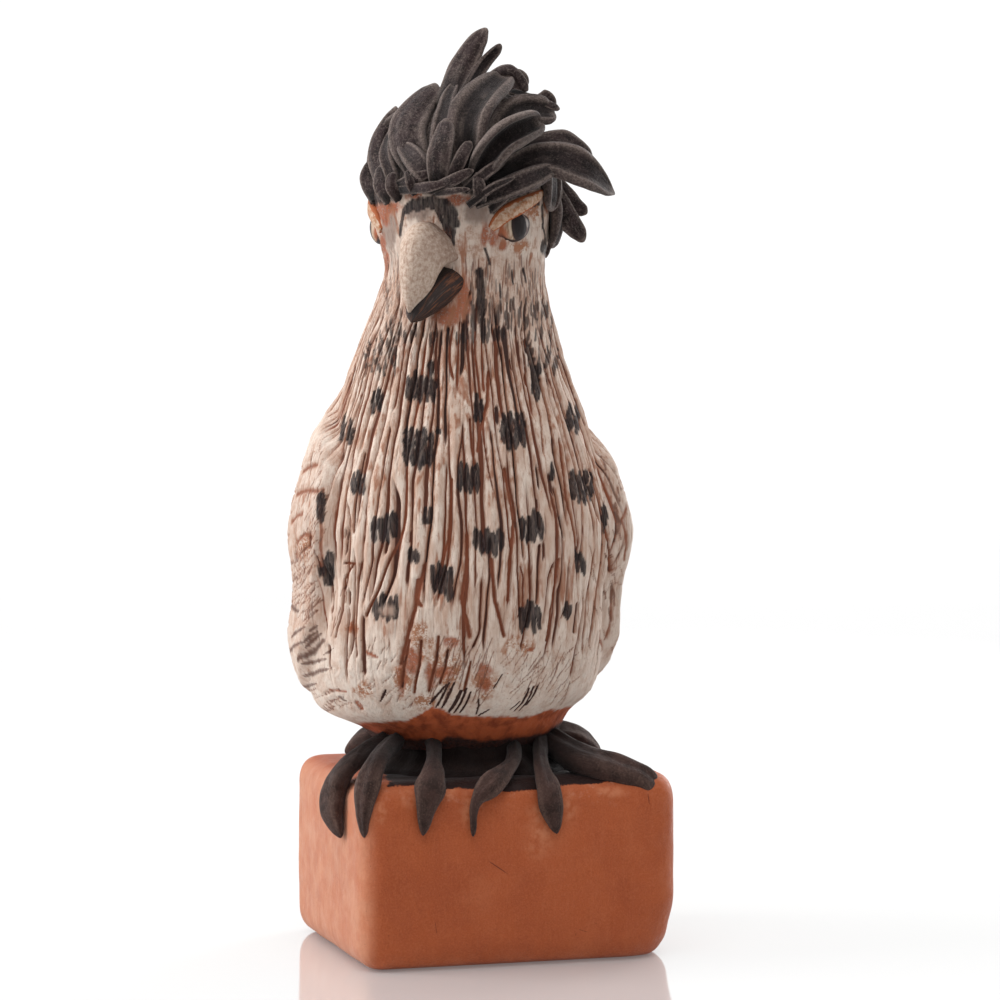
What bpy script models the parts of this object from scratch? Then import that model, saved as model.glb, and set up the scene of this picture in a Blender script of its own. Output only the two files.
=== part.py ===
"""A hand-built clay bird with a swept crest, perched on a rounded clay block.

The bird is one solid: body, wings, tail, beak, crest and feet were pressed together in
clay and fired as one. It stands on the block with its toes hooked over the edges.

The origin is the middle of the block's underside. +Z is up and -Y is the block's front.
The bird's own sizes are in parts, which are shares of its height.
"""

import math

import bmesh
import bpy
import numpy as np
from mathutils import Vector

MM = 0.001

# The block, at its real size.
BLOCK_WIDTH = 137.0 * MM
BLOCK_DEPTH = 107.0 * MM
BLOCK_HEIGHT = 75.0 * MM
BLOCK_EDGE = 14.0 * MM
BLOCK_BULGE = 1.5 * MM
SEAT_GAP = 0.3 * MM

# The bird, from the block's top to the highest crest leaf, and where its axis stands.
BIRD_HEIGHT = 303.5 * MM
PART = BIRD_HEIGHT / 311.0
BIRD_RIGHT = -8.7 * MM
BIRD_BACK = 2.6 * MM

# How far the body, the head and the crest are turned from the block's front.
BODY_TURN = math.radians(-5.5)
HEAD_TURN = math.radians(-40.5)
CREST_TURN = math.radians(-16.5)

# Carving.
STRANDS = 31
STRAND_DEPTH = 2.0 * PART
WING_LIFT = 6.5 * PART
WING_EDGE = 8.0 * PART

# Mesh fineness.
BODY_ROW_APART = 15
BLOCK_CELLS = 7

# The body in level sections, in parts: height over the block's top, half width,
# reach to the front, reach to the back, and shift to the bird's left.
BODY_SECTIONS = (
    (9.5, 36, 31, 31, 1),
    (17, 42, 38, 38, 0),
    (24, 52, 45, 45, -6),
    (31, 58.5, 51, 50, -4.5),
    (41, 61.7, 57, 55, -3.8),
    (54, 63, 60, 57, -3),
    (75, 62.5, 62.5, 59, -1.5),
    (100, 66, 60.5, 57, 0),
    (126, 59.7, 56, 52.5, -0.5),
    (145, 53.5, 50.5, 48, -0.5),
    (157, 49.5, 46, 45, -0.5),
    (176, 43, 40.5, 41, -0.5),
    (195, 36.5, 35.5, 36, 1),
    (208, 33.5, 33.5, 34, 2),
    (226, 36, 35.5, 36.5, 1),
    (240, 37, 36, 37, 0.5),
    (254, 34, 29, 34, 1),
    (265, 29.5, 26, 31, 3),
    (275, 21, 18, 23, 6),
    (282, 9, 8, 10, 8),
)
SECTION_ROUNDNESS = 2.25

# The wing's front edge: height in parts and degrees round from the breastbone.
WING_FRONT = ((22, 150), (28, 112), (36, 86), (50, 72), (80, 63), (110, 61), (135, 68), (150, 88))
WING_TOP = 150
WING_BOTTOM = 22

STRANDS_TOP = 200
STRANDS_BOTTOM = 32

# Clay colours and their roughness.
FINISHES = {
    "bird": ((0.60, 0.48, 0.41, 1.0), 0.85),
    "block": ((0.52, 0.19, 0.09, 1.0), 0.8),
}


def clear_scene():
    for thing in list(bpy.data.objects):
        bpy.data.objects.remove(thing)


def clay(name):
    colour, roughness = FINISHES[name]
    material = bpy.data.materials.new(name + "_clay")
    material.use_nodes = True
    shader = material.node_tree.nodes["Principled BSDF"]
    shader.inputs["Base Color"].default_value = colour
    shader.inputs["Roughness"].default_value = roughness
    shader.inputs["Metallic"].default_value = 0.0
    return material


def curve_through(points, at):
    """A smooth curve through (place, value) points, read at the places in at."""
    places, values = (np.array(row, float) for row in zip(*points))
    slopes = np.gradient(values, places)
    at = np.clip(at, places[0], places[-1])
    span = np.clip(np.searchsorted(places, at, side="right") - 1, 0, len(places) - 2)
    width = places[span + 1] - places[span]
    t = (at - places[span]) / width
    rise = t * t * (3 - 2 * t)
    start = values[span] * (1 - rise) + values[span + 1] * rise
    lean = slopes[span] * t * (1 - t) ** 2 - slopes[span + 1] * t * t * (1 - t)
    return start + lean * width


def soft_step(low, high, value):
    t = np.clip((value - low) / (high - low), 0, 1)
    return t * t * (3 - 2 * t)


def frame_point(turn, right, near, up):
    """A point in the bird's frame, seen from the direction turn: to the right, nearer, up."""
    along = (math.cos(turn), math.sin(turn))
    towards = (math.sin(turn), -math.cos(turn))
    return Vector(
        (
            BIRD_RIGHT + right * along[0] + near * towards[0],
            BIRD_BACK + right * along[1] + near * towards[1],
            BLOCK_HEIGHT + up,
        )
    )


def body_radius(around, up):
    """The body's reach from its axis, in parts. around is in radians from the breastbone."""
    column = [[(s[0], s[k]) for s in BODY_SECTIONS] for k in (1, 2, 3)]
    side, front, back = (curve_through(points, up) for points in column)
    depth = np.where(np.cos(around) > 0, front, back)
    power = SECTION_ROUNDNESS
    reach = np.abs(np.sin(around) / side) ** power + np.abs(np.cos(around) / depth) ** power
    return reach ** (-1 / power)


def wing_lift(around, up):
    """How far the folded wings stand out of the body, in parts."""
    turned = np.degrees(np.abs(around))
    edge = curve_through(WING_FRONT, up)
    inward = np.radians(turned - edge) * body_radius(around, up)
    rise = soft_step(0, WING_EDGE / PART, inward)
    rise *= soft_step(WING_TOP, WING_TOP - 26, up) * soft_step(WING_BOTTOM, WING_BOTTOM + 14, up)
    rise *= 1 - 0.75 * soft_step(128, 168, turned)
    return rise * WING_LIFT / PART


def strand_share(up):
    return soft_step(STRANDS_BOTTOM, STRANDS_BOTTOM + 16, up) * soft_step(
        STRANDS_TOP, STRANDS_TOP - 24, up
    )


def body_mesh():
    """The body, neck and skull as one ring-by-ring skin, with long carved strands."""
    columns = 2 * STRANDS
    around = (np.arange(columns) + 0.5) / columns * 2 * math.pi - math.pi
    ridge = np.where(np.arange(columns) % 2, 0.5, -0.5) * STRAND_DEPTH / PART
    shape = bmesh.new()
    rings = []
    for up in body_heights():
        level = np.full(columns, up)
        wing = wing_lift(around, level)
        reach = body_radius(around, level) + wing
        reach += ridge * strand_share(level) * (1 - 0.6 * wing * PART / WING_LIFT)
        shift = curve_through([(s[0], s[4]) for s in BODY_SECTIONS], level)
        ring = []
        for turn, radius, move in zip(around, reach, shift):
            spot = frame_point(
                BODY_TURN,
                PART * (radius * math.sin(turn) + move),
                PART * radius * math.cos(turn),
                PART * up,
            )
            ring.append(shape.verts.new(spot))
        rings.append(ring)
    bridge(shape, rings)
    shape.faces.new(list(reversed(rings[0])))
    shape.faces.new(rings[-1])
    return shape


def body_heights():
    """The heights of the body's rings: its sections, and the middle of each long stretch."""
    heights = [BODY_SECTIONS[0][0]]
    for low, high in zip(BODY_SECTIONS, BODY_SECTIONS[1:]):
        if high[0] - low[0] > BODY_ROW_APART:
            heights.append((low[0] + high[0]) / 2)
        heights.append(high[0])
    return heights


def bridge(shape, rings):
    for low, high in zip(rings, rings[1:]):
        for k in range(len(low)):
            following = (k + 1) % len(low)
            shape.faces.new((low[k], low[following], high[following], high[k]))


def swept(spine, frames, outline, tip=True):
    """A closed skin round a spine. outline(k) gives ring k's points as (across, out)."""
    shape = bmesh.new()
    rings = []
    count = len(spine) - 1 if tip else len(spine)
    for k in range(count):
        across, out = frames[k]
        ring = [shape.verts.new(spine[k] + across * a + out * b) for a, b in outline(k)]
        rings.append(ring)
    bridge(shape, rings)
    shape.faces.new(list(reversed(rings[0])))
    if tip:
        point = shape.verts.new(spine[-1])
        last = rings[-1]
        for k in range(len(last)):
            shape.faces.new((last[k], last[(k + 1) % len(last)], point))
    else:
        shape.faces.new(rings[-1])
    bmesh.ops.recalc_face_normals(shape, faces=shape.faces)
    return shape


def frames_along(spine, outward):
    """Across and out directions at each point of a spine."""
    frames = []
    for k in range(len(spine)):
        ahead = spine[min(k + 1, len(spine) - 1)] - spine[max(k - 1, 0)]
        across = ahead.cross(outward).normalized()
        frames.append((across, across.cross(ahead).normalized()))
    return frames


def bend_through(points, count):
    """count points on a smooth curve through a few given ones."""
    places = np.arange(len(points), dtype=float)
    at = np.linspace(0, len(points) - 1, count)
    axes = [curve_through(list(zip(places, [p[k] for p in points])), at) for k in range(3)]
    return [Vector(p) for p in zip(*axes)]


# A crest leaf is a flat roll of clay, full in the middle and pinched to a blunt point:
# the share of its length, and its width there.
LEAF_PROFILE = ((0, 0.66), (0.28, 0.92), (0.6, 0.98), (0.9, 0.64), (1, 0))
LEAF_SIDES = 6
LEAF_THICKNESS = 0.44
LEAF_CUP = 0.14
LEAF_SINK = 4

# The skull under the crest, in parts.
SKULL_MIDDLE = 236
SKULL_REACH = 36
SKULL_ABOVE = 49
SKULL_BELOW = 62

# Crest leaves as seen from the front of the crest, in parts from the skull's middle: root
# to the right and up, tip to the right, up and near, then width and how far it bows out.
CREST_LEAVES = (
    # the two spikes at the top, and the broad leaves beside and behind them
    (-5, 42, 11, 75.4, -2, 13.5, 2),
    (2, 42, 17, 67.5, 2, 7.5, 1),
    (0, 22, 19.5, 56.5, 9, 16, 9),
    (7, 19, 27, 55.5, 3, 12, 8),
    (12, 38, 28, 58, -12, 13, 6),
    (17, 30, 41, 46, -8, 18, 7),
    (22, 26, 43, 37, -4, 12, 5),
    (-14, 36, -2, 56, -12, 15, 5),
    # the left side, swept up
    (-18, 20, -9.5, 52.5, 8, 15.5, 4),
    (-8, 28, -1.5, 53.5, 13, 8.5, 3),
    (-30, 8, -27, 42, 2, 10.5, 4),
    (-33, 0, -36, 19, -4, 9, 3),
    (-30, 0, -33, 15, 13, 8, 2),
    (-28, 16, -24, 46, -14, 13, 5),
    # the full leaves in the middle
    (-15, 7, -26, 27, 21, 12, 3),
    (-9, 8, -7, 36, 24, 8.5, 3),
    (-4, 9, 3.5, 27, 31, 7.5, 2),
    (-7, 7, 5, 15, 36, 6.5, 1),
    (8, 8, 36, 37, 16, 9.5, 5),
    (8, 4, 24, 12.5, 31, 6.5, 1),
    # the right side, blown outwards
    (10, 4, 42, 16, 20, 10.5, 4),
    (27, 25, 58.5, 20, -6, 15.5, 7),
    (19, 14, 66, 4.5, -2, 19, 9),
    # the three that hang behind the cheek
    (30, 8, 52.7, -16, -16, 8, 4),
    (30, 10, 53.5, -3.5, -22, 7, 4),
    (32, 0, 36.5, -23, -12, 6.5, 2),
)

# The rows that cover the back of the head: how high each row's roots and tips lie on the
# skull in degrees, how many leaves, how far the tips stand off in parts, and their width.
# The rows run round the back from one angle to another, with their tips swept to one side.
BACK_ROWS = (
    (84, 38, 5, 5, 16),
    (58, 12, 6, 5, 18),
    (34, -3, 7, 5, 17),
    (12, -17, 7, 5, 15),
)
BACK_FROM = math.radians(80)
BACK_TO = math.radians(264)
BACK_SWEEP = math.radians(-14)
BACK_BOW = 5


def skull_near(right, up):
    """How far the skull's skin stands in front of its middle, in parts."""
    above = up / (SKULL_ABOVE if up > 0 else SKULL_BELOW)
    return SKULL_REACH * math.sqrt(max(1 - (right / SKULL_REACH) ** 2 - above**2, 0))


def leaf_mesh(root, tip, width, bow, outward):
    middle = root.lerp(tip, 0.5) + outward * bow
    count = len(LEAF_PROFILE)
    bend = [Vector(p) for p in zip(*(bend_axis(root, middle, tip, k) for k in range(3)))]
    frames = frames_along(bend, outward)

    def outline(k):
        share, full = LEAF_PROFILE[k]
        thick = width * LEAF_THICKNESS * (1 - 0.4 * share) * (0.4 + 0.6 * full) / 2
        points = []
        for side in range(LEAF_SIDES):
            turn = 2 * math.pi * side / LEAF_SIDES
            cup = LEAF_CUP * width * full * math.cos(turn) ** 2
            points.append((width * full * math.cos(turn) / 2, thick * math.sin(turn) + cup))
        return points

    return swept(bend[:count], frames, outline)


def bend_axis(root, middle, tip, axis):
    shares = [share for share, full in LEAF_PROFILE]
    return curve_through([(0, root[axis]), (0.5, middle[axis]), (1, tip[axis])], shares)


def crest_leaf(root, tip, width, bow):
    """A leaf from a root to a tip, both in parts in the crest's frame from the skull's middle."""
    root, tip, middle = (
        frame_point(CREST_TURN, right * PART, near * PART, (SKULL_MIDDLE + up) * PART)
        for right, near, up in (root, tip, (0, 0, -4))
    )
    outward = (root.lerp(tip, 0.4) - middle).normalized()
    sunk = root - ((tip - root).normalized() + outward) * LEAF_SINK * PART
    return leaf_mesh(sunk, tip, width * PART, bow * PART, outward)


def crest_meshes():
    made = []
    for right, up, tip_right, tip_up, tip_near, width, bow in CREST_LEAVES:
        root = (right, skull_near(right, up), up)
        made.append(crest_leaf(root, (tip_right, tip_near, tip_up), width, bow))
    for row, (high, low, count, stand, width) in enumerate(BACK_ROWS):
        for k in range(count):
            share = (k + 0.5 * (row % 2)) / (count - 0.5)
            around = BACK_FROM + share * (BACK_TO - BACK_FROM)
            root = on_skull(around, math.radians(high), 0)
            tip = on_skull(around + BACK_SWEEP, math.radians(low), stand)
            made.append(crest_leaf(root, tip, width, BACK_BOW))
    return made


def on_skull(around, raised, stand):
    """A point on the skull, in parts: around from the near side, raised above its middle."""
    level = (SKULL_REACH + stand) * math.cos(raised)
    height = (SKULL_ABOVE if raised > 0 else SKULL_BELOW) * math.sin(raised)
    return (level * math.sin(around), level * math.cos(around), height)


# The beak, in parts: reach from the head's axis, height over the block, half width, half depth.
UPPER_BEAK = (
    (24, 220.5, 15, 12),
    (36, 220.5, 13.5, 11.5),
    (43.5, 217.5, 11.5, 10.5),
    (47.5, 209.5, 8.6, 8),
    (49, 199.5, 5.4, 5.2),
    (48.7, 188.5, 0, 0),
)
LOWER_BEAK = (
    (20, 209, 14, 9),
    (31, 206, 13, 8.5),
    (40.5, 198.5, 9.5, 6.5),
    (47, 187.5, 0, 0),
)
BEAK_SIDES = 10
BEAK_FINENESS = 2
BEAK_ARCH = 1.7


def beak_mesh(stations, arched):
    """Half of the beak: an arched ridge above, or a flat scoop below, bent down to its tip."""
    count = BEAK_FINENESS * (len(stations) - 1) + 1
    places = np.arange(len(stations))
    at = np.linspace(0, len(stations) - 1, count)
    columns = [curve_through(list(zip(places, [s[k] for s in stations])), at) for k in range(4)]
    spine = [
        frame_point(HEAD_TURN, 0, reach * PART, up * PART)
        for reach, up in zip(columns[0], columns[1])
    ]
    across = frame_point(HEAD_TURN, 1, 0, 0) - frame_point(HEAD_TURN, 0, 0, 0)
    frames = []
    for k in range(count):
        ahead = spine[min(k + 1, count - 1)] - spine[max(k - 1, 0)]
        frames.append((across, ahead.cross(across).normalized()))

    def outline(k):
        half, deep = columns[2][k] * PART, columns[3][k] * PART
        points = []
        for side in range(BEAK_SIDES):
            turn = 2 * math.pi * (side + 0.5) / BEAK_SIDES
            out = math.sin(turn)
            narrowed = math.cos(turn)
            if arched:
                full = (1 - ((out + 1) / 2) ** BEAK_ARCH) ** 0.5
                narrowed = math.copysign(full, math.cos(turn))
            points.append((half * narrowed, deep * out))
        return points

    return swept(spine, frames, outline)


# The eyes: degrees round from the beak, height and size in parts.
EYE_AROUND = 64
EYE_UP = 226.6
EYE_SIZE = 7
EYE_SINK = 5.2


def eye_mesh(side):
    turn = math.radians(EYE_AROUND) * side
    reach = head_reach(turn, EYE_UP) - EYE_SINK
    shape = bmesh.new()
    bmesh.ops.create_uvsphere(shape, u_segments=8, v_segments=6, radius=EYE_SIZE * PART)
    middle = frame_point(
        HEAD_TURN, reach * math.sin(turn) * PART, reach * math.cos(turn) * PART, EYE_UP * PART
    )
    bmesh.ops.translate(shape, verts=shape.verts, vec=middle)
    return shape


def head_reach(turn, up):
    """The head's skin, in parts from the axis, at an angle from the beak."""
    return float(body_radius(turn + HEAD_TURN - BODY_TURN, np.float64(up)))


# The brow ridge over each eye: degrees from the beak, height in parts.
BROW = ((38, 218), (50, 223), (66, 230), (82, 236.5))
BROW_WIDTH = 6.5
BROW_STAND = -0.2
BROW_RINGS = 7
BROW_SIDES = 6


def brow_mesh(side):
    at = np.linspace(0, len(BROW) - 1, BROW_RINGS)
    degrees, heights = (
        curve_through([(k, row[axis]) for k, row in enumerate(BROW)], at) for axis in (0, 1)
    )
    spine = []
    for turned, up in zip(degrees, heights):
        turn = math.radians(turned) * side
        reach = (head_reach(turn, up) + BROW_STAND) * PART
        spine.append(
            frame_point(HEAD_TURN, reach * math.sin(turn), reach * math.cos(turn), up * PART)
        )
    middle = frame_point(HEAD_TURN, 0, 0, BROW[1][1] * PART)
    frames = frames_along(spine, (spine[BROW_RINGS // 2] - middle).normalized())

    def outline(k):
        half = BROW_WIDTH / 2 * PART * (0.45 + 0.55 * math.sin(math.pi * (k + 0.5) / BROW_RINGS))
        turns = (2 * math.pi * corner / BROW_SIDES for corner in range(BROW_SIDES))
        return [(half * math.cos(turn), half * 0.8 * math.sin(turn)) for turn in turns]

    return swept(spine, frames, outline, tip=False)


# The feet: a low pad of dark clay under the belly, and four toes on each foot.
PAD_HALF_WIDTH = 40
PAD_HALF_DEPTH = 34
PAD_RIGHT = 5
PAD_TOP = 15
PAD_SIDES = 20

# Each toe: which side of the block its places are measured from, its root in parts (right,
# near and up from the bird's foot), its further places in millimetres (in from the block's
# side, back from its front and up from its top), which keep the claws hooked over the
# edges, and its width in millimetres.
TOES = {
    "left_back": (-1, (-26, -1, 11), ((20.5, 61, 9), (9.5, 64, 5), (1, 67, -4)), 9.5),
    "left_outer": (-1, (-26, 9, 10), ((14.5, 45, 9), (0, 39, 0), (-4, 29, -11), (-3, 9, -21.5)), 10.5),
    "left_middle": (-1, (-22, 18, 10), ((16, 18, 8), (4, 6, 0), (1, 2.5, -11), (3, 2, -21.5)), 11),
    "left_inner": (-1, (-16, 24, 12), ((35, 7.5, 9), (29.5, -2.5, 0), (26.5, -4, -8), (28, -2, -20)), 11),
    "right_inner": (-1, (9, 24, 11), ((60, 7.5, 5), (51.5, -2, -2), (48, -3.5, -9), (48.5, -2, -21.5)), 8.5),
    "right_middle": (1, (17, 24, 12), ((59.5, 7.5, 9), (57.5, -2.5, 1), (55.5, -4, -9), (53, -2, -21.5)), 11),
    "right_outer": (1, (23, 22, 11), ((40, 13.5, 5), (25, 6.5, 1.5), (15, 0, -2.5), (14, -2.5, -9)), 13),
    "right_back": (1, (29, 1, 11), ((32.5, 61, 6.5), (22.5, 64, 3.5), (13, 67, -3)), 10.5),
}
TOE_FINENESS = 2
TOE_SIDES = 7
TOE_THICKNESS = 0.8


def pad_mesh():
    shape = bmesh.new()
    rings = []
    for up, flare in ((-1.5, 1.06), (4, 0.97), (PAD_TOP, 0.92)):
        ring = []
        for k in range(PAD_SIDES):
            turn = 2 * math.pi * k / PAD_SIDES
            right = (PAD_RIGHT + PAD_HALF_WIDTH * flare * math.cos(turn)) * PART
            near = -PAD_HALF_DEPTH * flare * math.sin(turn) * PART
            ring.append(shape.verts.new(frame_point(0.0, right, near, up * PART)))
        rings.append(ring)
    bridge(shape, rings)
    shape.faces.new(list(reversed(rings[0])))
    shape.faces.new(rings[-1])
    bmesh.ops.recalc_face_normals(shape, faces=shape.faces)
    return shape


def from_edges(side, inward, back, above):
    """A place measured from the block's side, front and top, in millimetres."""
    return Vector(
        (
            side * (BLOCK_WIDTH / 2 - inward * MM),
            -BLOCK_DEPTH / 2 + back * MM,
            BLOCK_HEIGHT + above * MM,
        )
    )


def toe_mesh(side, root, places, width):
    points = [frame_point(0.0, *(share * PART for share in root))]
    points += [from_edges(side, *place) for place in places]
    count = TOE_FINENESS * len(places) + 1
    spine = bend_through(points, count)
    middle = Vector((0, 0, BLOCK_HEIGHT / 2))
    frames = []
    for k in range(count):
        ahead = spine[min(k + 1, count - 1)] - spine[max(k - 1, 0)]
        away = (spine[k] - middle).normalized() + Vector((0, 0, 0.8))
        across = ahead.cross(away).normalized()
        frames.append((across, across.cross(ahead).normalized()))

    def outline(k):
        share = k / (count - 1)
        half = width / 2 * MM * (0.7 + 0.3 * math.sin(math.pi * share))
        half *= 1 - soft_step(0.62, 1.15, share)
        turns = (2 * math.pi * corner / TOE_SIDES for corner in range(TOE_SIDES))
        return [(half * math.cos(turn), half * TOE_THICKNESS * math.sin(turn)) for turn in turns]

    return swept(spine, frames, outline)


# The tail: three overlapping slabs of clay at the back, in parts: right, and reach of the tip.
TAIL_FEATHERS = ((-12, 64), (12, 64), (0, 68))
TAIL_ROOT_UP = 80
TAIL_ROOT_REACH = 46
TAIL_TIP_UP = 14
TAIL_WIDTH = 29


def tail_meshes():
    outward = frame_point(BODY_TURN, 0, -1, 0.4) - frame_point(BODY_TURN, 0, 0, 0)
    made = []
    for right, reach in TAIL_FEATHERS:
        root = frame_point(BODY_TURN, right / 2 * PART, -TAIL_ROOT_REACH * PART, TAIL_ROOT_UP * PART)
        tip = frame_point(BODY_TURN, right * PART, -reach * PART, TAIL_TIP_UP * PART)
        made.append(leaf_mesh(root, tip, TAIL_WIDTH * PART, 4 * PART, outward.normalized()))
    return made


def block_mesh(grow=0.0):
    """A rounded block with gently swollen sides and a flat underside."""
    half = Vector((BLOCK_WIDTH / 2, BLOCK_DEPTH / 2, BLOCK_HEIGHT / 2))
    shape = bmesh.new()
    bmesh.ops.create_cube(shape, size=2.0)
    bmesh.ops.subdivide_edges(shape, edges=shape.edges[:], cuts=BLOCK_CELLS - 1, use_grid_fill=True)
    for vert in shape.verts:
        vert.co = block_point(vert.co.copy(), half, grow)
    return shape


def block_point(cube, half, grow):
    """Moves a point of a cube of side 2 to the block's rounded, swollen skin."""
    for k in range(3):
        cube[k] = math.copysign(edge_packed(abs(cube[k])), cube[k])
    inner = [half[k] - BLOCK_EDGE for k in range(3)]
    place = Vector([cube[k] * half[k] for k in range(3)])
    core = Vector([max(-inner[k], min(inner[k], place[k])) for k in range(3)])
    away = place - core
    if away.length > 1e-9:
        place = core + away.normalized() * min(BLOCK_EDGE, away.length * 10)
    swell = [1 - (place[k] / half[k]) ** 2 for k in range(3)]
    for k in range(2):
        other = max(swell[1 - k], 0) * max(swell[2], 0)
        place[k] += math.copysign(BLOCK_BULGE * other, place[k]) * (abs(place[k]) / half[k]) ** 6
    place.z += half.z
    if grow:
        middle = Vector((0, 0, half.z))
        place = middle + Vector(
            [(place - middle)[k] * (1 + grow / half[k]) for k in range(3)]
        )
    return place


def edge_packed(share):
    """Crowds the grid lines towards the cube's edges, where the block is round."""
    return math.sin(share * math.pi / 2) ** 0.85 if share < 1 else 1.0


def add_object(name, shape, finish=None):
    bmesh.ops.recalc_face_normals(shape, faces=shape.faces)
    mesh = bpy.data.meshes.new(name)
    shape.to_mesh(mesh)
    shape.free()
    thing = bpy.data.objects.new(name, mesh)
    bpy.context.scene.collection.objects.link(thing)
    if finish:
        mesh.materials.append(finish)
        mesh.shade_smooth()
        mesh.set_sharp_from_angle(angle=math.radians(40))
    return thing


def as_helper(thing, group):
    thing.hide_render = True
    thing.display_type = "WIRE"
    bpy.context.scene.collection.objects.unlink(thing)
    group.objects.link(thing)
    return thing


def make_block():
    return add_object("block", block_mesh(), clay("block"))


def make_bird():
    bird = add_object("bird", body_mesh(), clay("bird"))
    added = bpy.data.collections.new("clay_added_to_bird")
    bpy.context.scene.collection.children.link(added)
    shapes = [beak_mesh(UPPER_BEAK, True), beak_mesh(LOWER_BEAK, False), pad_mesh()]
    shapes += [make(side) for make in (eye_mesh, brow_mesh) for side in (-1, 1)]
    shapes += crest_meshes() + tail_meshes() + [toe_mesh(*toe) for toe in TOES.values()]
    for k, shape in enumerate(shapes):
        as_helper(add_object(f"added_{k:02d}", shape), added)
    pressed = bird.modifiers.new("pressed_on", "BOOLEAN")
    pressed.operation = "UNION"
    pressed.solver = "EXACT"
    pressed.operand_type = "COLLECTION"
    pressed.collection = added
    cutters = bpy.data.collections.new("cutters")
    bpy.context.scene.collection.children.link(cutters)
    seat = as_helper(add_object("block_seat", block_mesh(SEAT_GAP)), cutters)
    seated = bird.modifiers.new("seated_on_block", "BOOLEAN")
    seated.operation = "DIFFERENCE"
    seated.solver = "EXACT"
    seated.object = seat
    fill_air_pockets(bird)
    return bird


def fill_air_pockets(thing):
    """Bakes the Booleans in, and fills the pockets that crossing leaves close off."""
    shaped = thing.evaluated_get(bpy.context.evaluated_depsgraph_get())
    shape = bmesh.new()
    shape.from_mesh(shaped.to_mesh())
    thing.modifiers.clear()
    skins = separate_skins(shape)
    outer = max(skins, key=len)
    pockets = [vert for skin in skins if skin is not outer for vert in skin]
    bmesh.ops.delete(shape, geom=pockets, context="VERTS")
    spare = [vert for vert in shape.verts if len(vert.link_edges) == 2]
    bmesh.ops.dissolve_verts(shape, verts=spare)
    bmesh.ops.triangulate(shape, faces=shape.faces)
    shape.to_mesh(thing.data)
    shape.free()


def separate_skins(shape):
    """The mesh's points, in one list for each skin that is closed by itself."""
    left = dict.fromkeys(shape.verts)
    skins = []
    while left:
        skin = [left.popitem()[0]]
        for vert in skin:
            for edge in vert.link_edges:
                following = edge.other_vert(vert)
                if following in left:
                    del left[following]
                    skin.append(following)
        skins.append(skin)
    return skins


clear_scene()
make_block()
make_bird()
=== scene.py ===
import math

import bpy
import numpy as np
from mathutils import Euler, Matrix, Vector, noise


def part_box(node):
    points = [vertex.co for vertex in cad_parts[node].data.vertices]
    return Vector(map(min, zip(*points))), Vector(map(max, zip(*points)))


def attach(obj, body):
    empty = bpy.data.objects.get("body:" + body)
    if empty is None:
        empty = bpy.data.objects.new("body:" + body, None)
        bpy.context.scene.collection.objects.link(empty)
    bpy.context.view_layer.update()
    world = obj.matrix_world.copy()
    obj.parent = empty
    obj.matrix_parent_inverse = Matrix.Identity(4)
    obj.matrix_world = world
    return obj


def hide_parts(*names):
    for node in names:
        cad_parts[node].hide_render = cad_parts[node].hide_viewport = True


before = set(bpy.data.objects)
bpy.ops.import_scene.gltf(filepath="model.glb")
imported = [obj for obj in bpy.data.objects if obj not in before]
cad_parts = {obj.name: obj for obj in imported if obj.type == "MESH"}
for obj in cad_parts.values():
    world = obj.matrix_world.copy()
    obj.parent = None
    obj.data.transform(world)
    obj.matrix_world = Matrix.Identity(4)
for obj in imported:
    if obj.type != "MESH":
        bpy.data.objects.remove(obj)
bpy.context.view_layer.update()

# The photographer's table: a long lens a little to the left of the block's front, a white
# acrylic sheet that mirrors the block, and a white room that is brightest behind the bird.
MM = 0.001
LENS_MM = 123.84
SENSOR_MM = 36.0
PHOTO_PIXELS = 1000
FOCAL_PIXELS = LENS_MM / SENSOR_MM * PHOTO_PIXELS
EYE = Vector((-0.4019, -1.3567, 0.248))
LOOK = Euler((math.radians(90 - 2.58), 0, math.radians(-16.8)))
SHEET_HALF = 4.0
SHEET_TONE = (0.60, 0.60, 0.60, 1)
SHEET_HAZE = (0.64, 0.64, 0.64, 1)
SHEET_METALLIC = 0.35
SHEET_GLOW = 0.12
WHITE = (1, 1, 1, 1)

# Nearly all of a cloud's values lie between these two.
CLOUD_SPREAD = (0.3, 0.7)
SHEEN_ROUGHNESS = 0.4

camera = bpy.data.objects.new("camera", bpy.data.cameras.new("camera"))
camera.data.lens = LENS_MM
camera.data.sensor_width = SENSOR_MM
camera.data.clip_end = 50
camera.location = EYE
camera.rotation_euler = LOOK
bpy.context.scene.collection.objects.link(camera)
bpy.context.scene.camera = camera
bpy.context.scene.view_settings.view_transform = "Standard"


def in_photo(points):
    """Where points fall in the photograph, as arrays of x and y pixels."""
    seen = (np.asarray(points) - np.array(EYE)) @ np.array(LOOK.to_matrix())
    x = PHOTO_PIXELS / 2 - FOCAL_PIXELS * seen[..., 0] / seen[..., 2]
    y = PHOTO_PIXELS / 2 + FOCAL_PIXELS * seen[..., 1] / seen[..., 2]
    return x, y


def colour(red, green, blue):
    """A colour picked on the usual 0 to 255 scale, as the shader takes it."""
    scaled = (part / 255 for part in (red, green, blue))
    linear = [part / 12.92 if part < 0.04045 else ((part + 0.055) / 1.055) ** 2.4 for part in scaled]
    return (*linear, 1.0)


def start_finish(name, roughness, specular=0.5, sheen=0.0):
    """A new finish, its node tree and its shader."""
    finish = bpy.data.materials.new(name)
    finish.use_nodes = True
    shader = finish.node_tree.nodes["Principled BSDF"]
    shader.inputs["Roughness"].default_value = roughness
    shader.inputs["Specular IOR Level"].default_value = specular
    if sheen:
        shader.inputs["Sheen Weight"].default_value = sheen
        shader.inputs["Sheen Roughness"].default_value = SHEEN_ROUGHNESS
    return finish, finish.node_tree, shader


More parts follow.
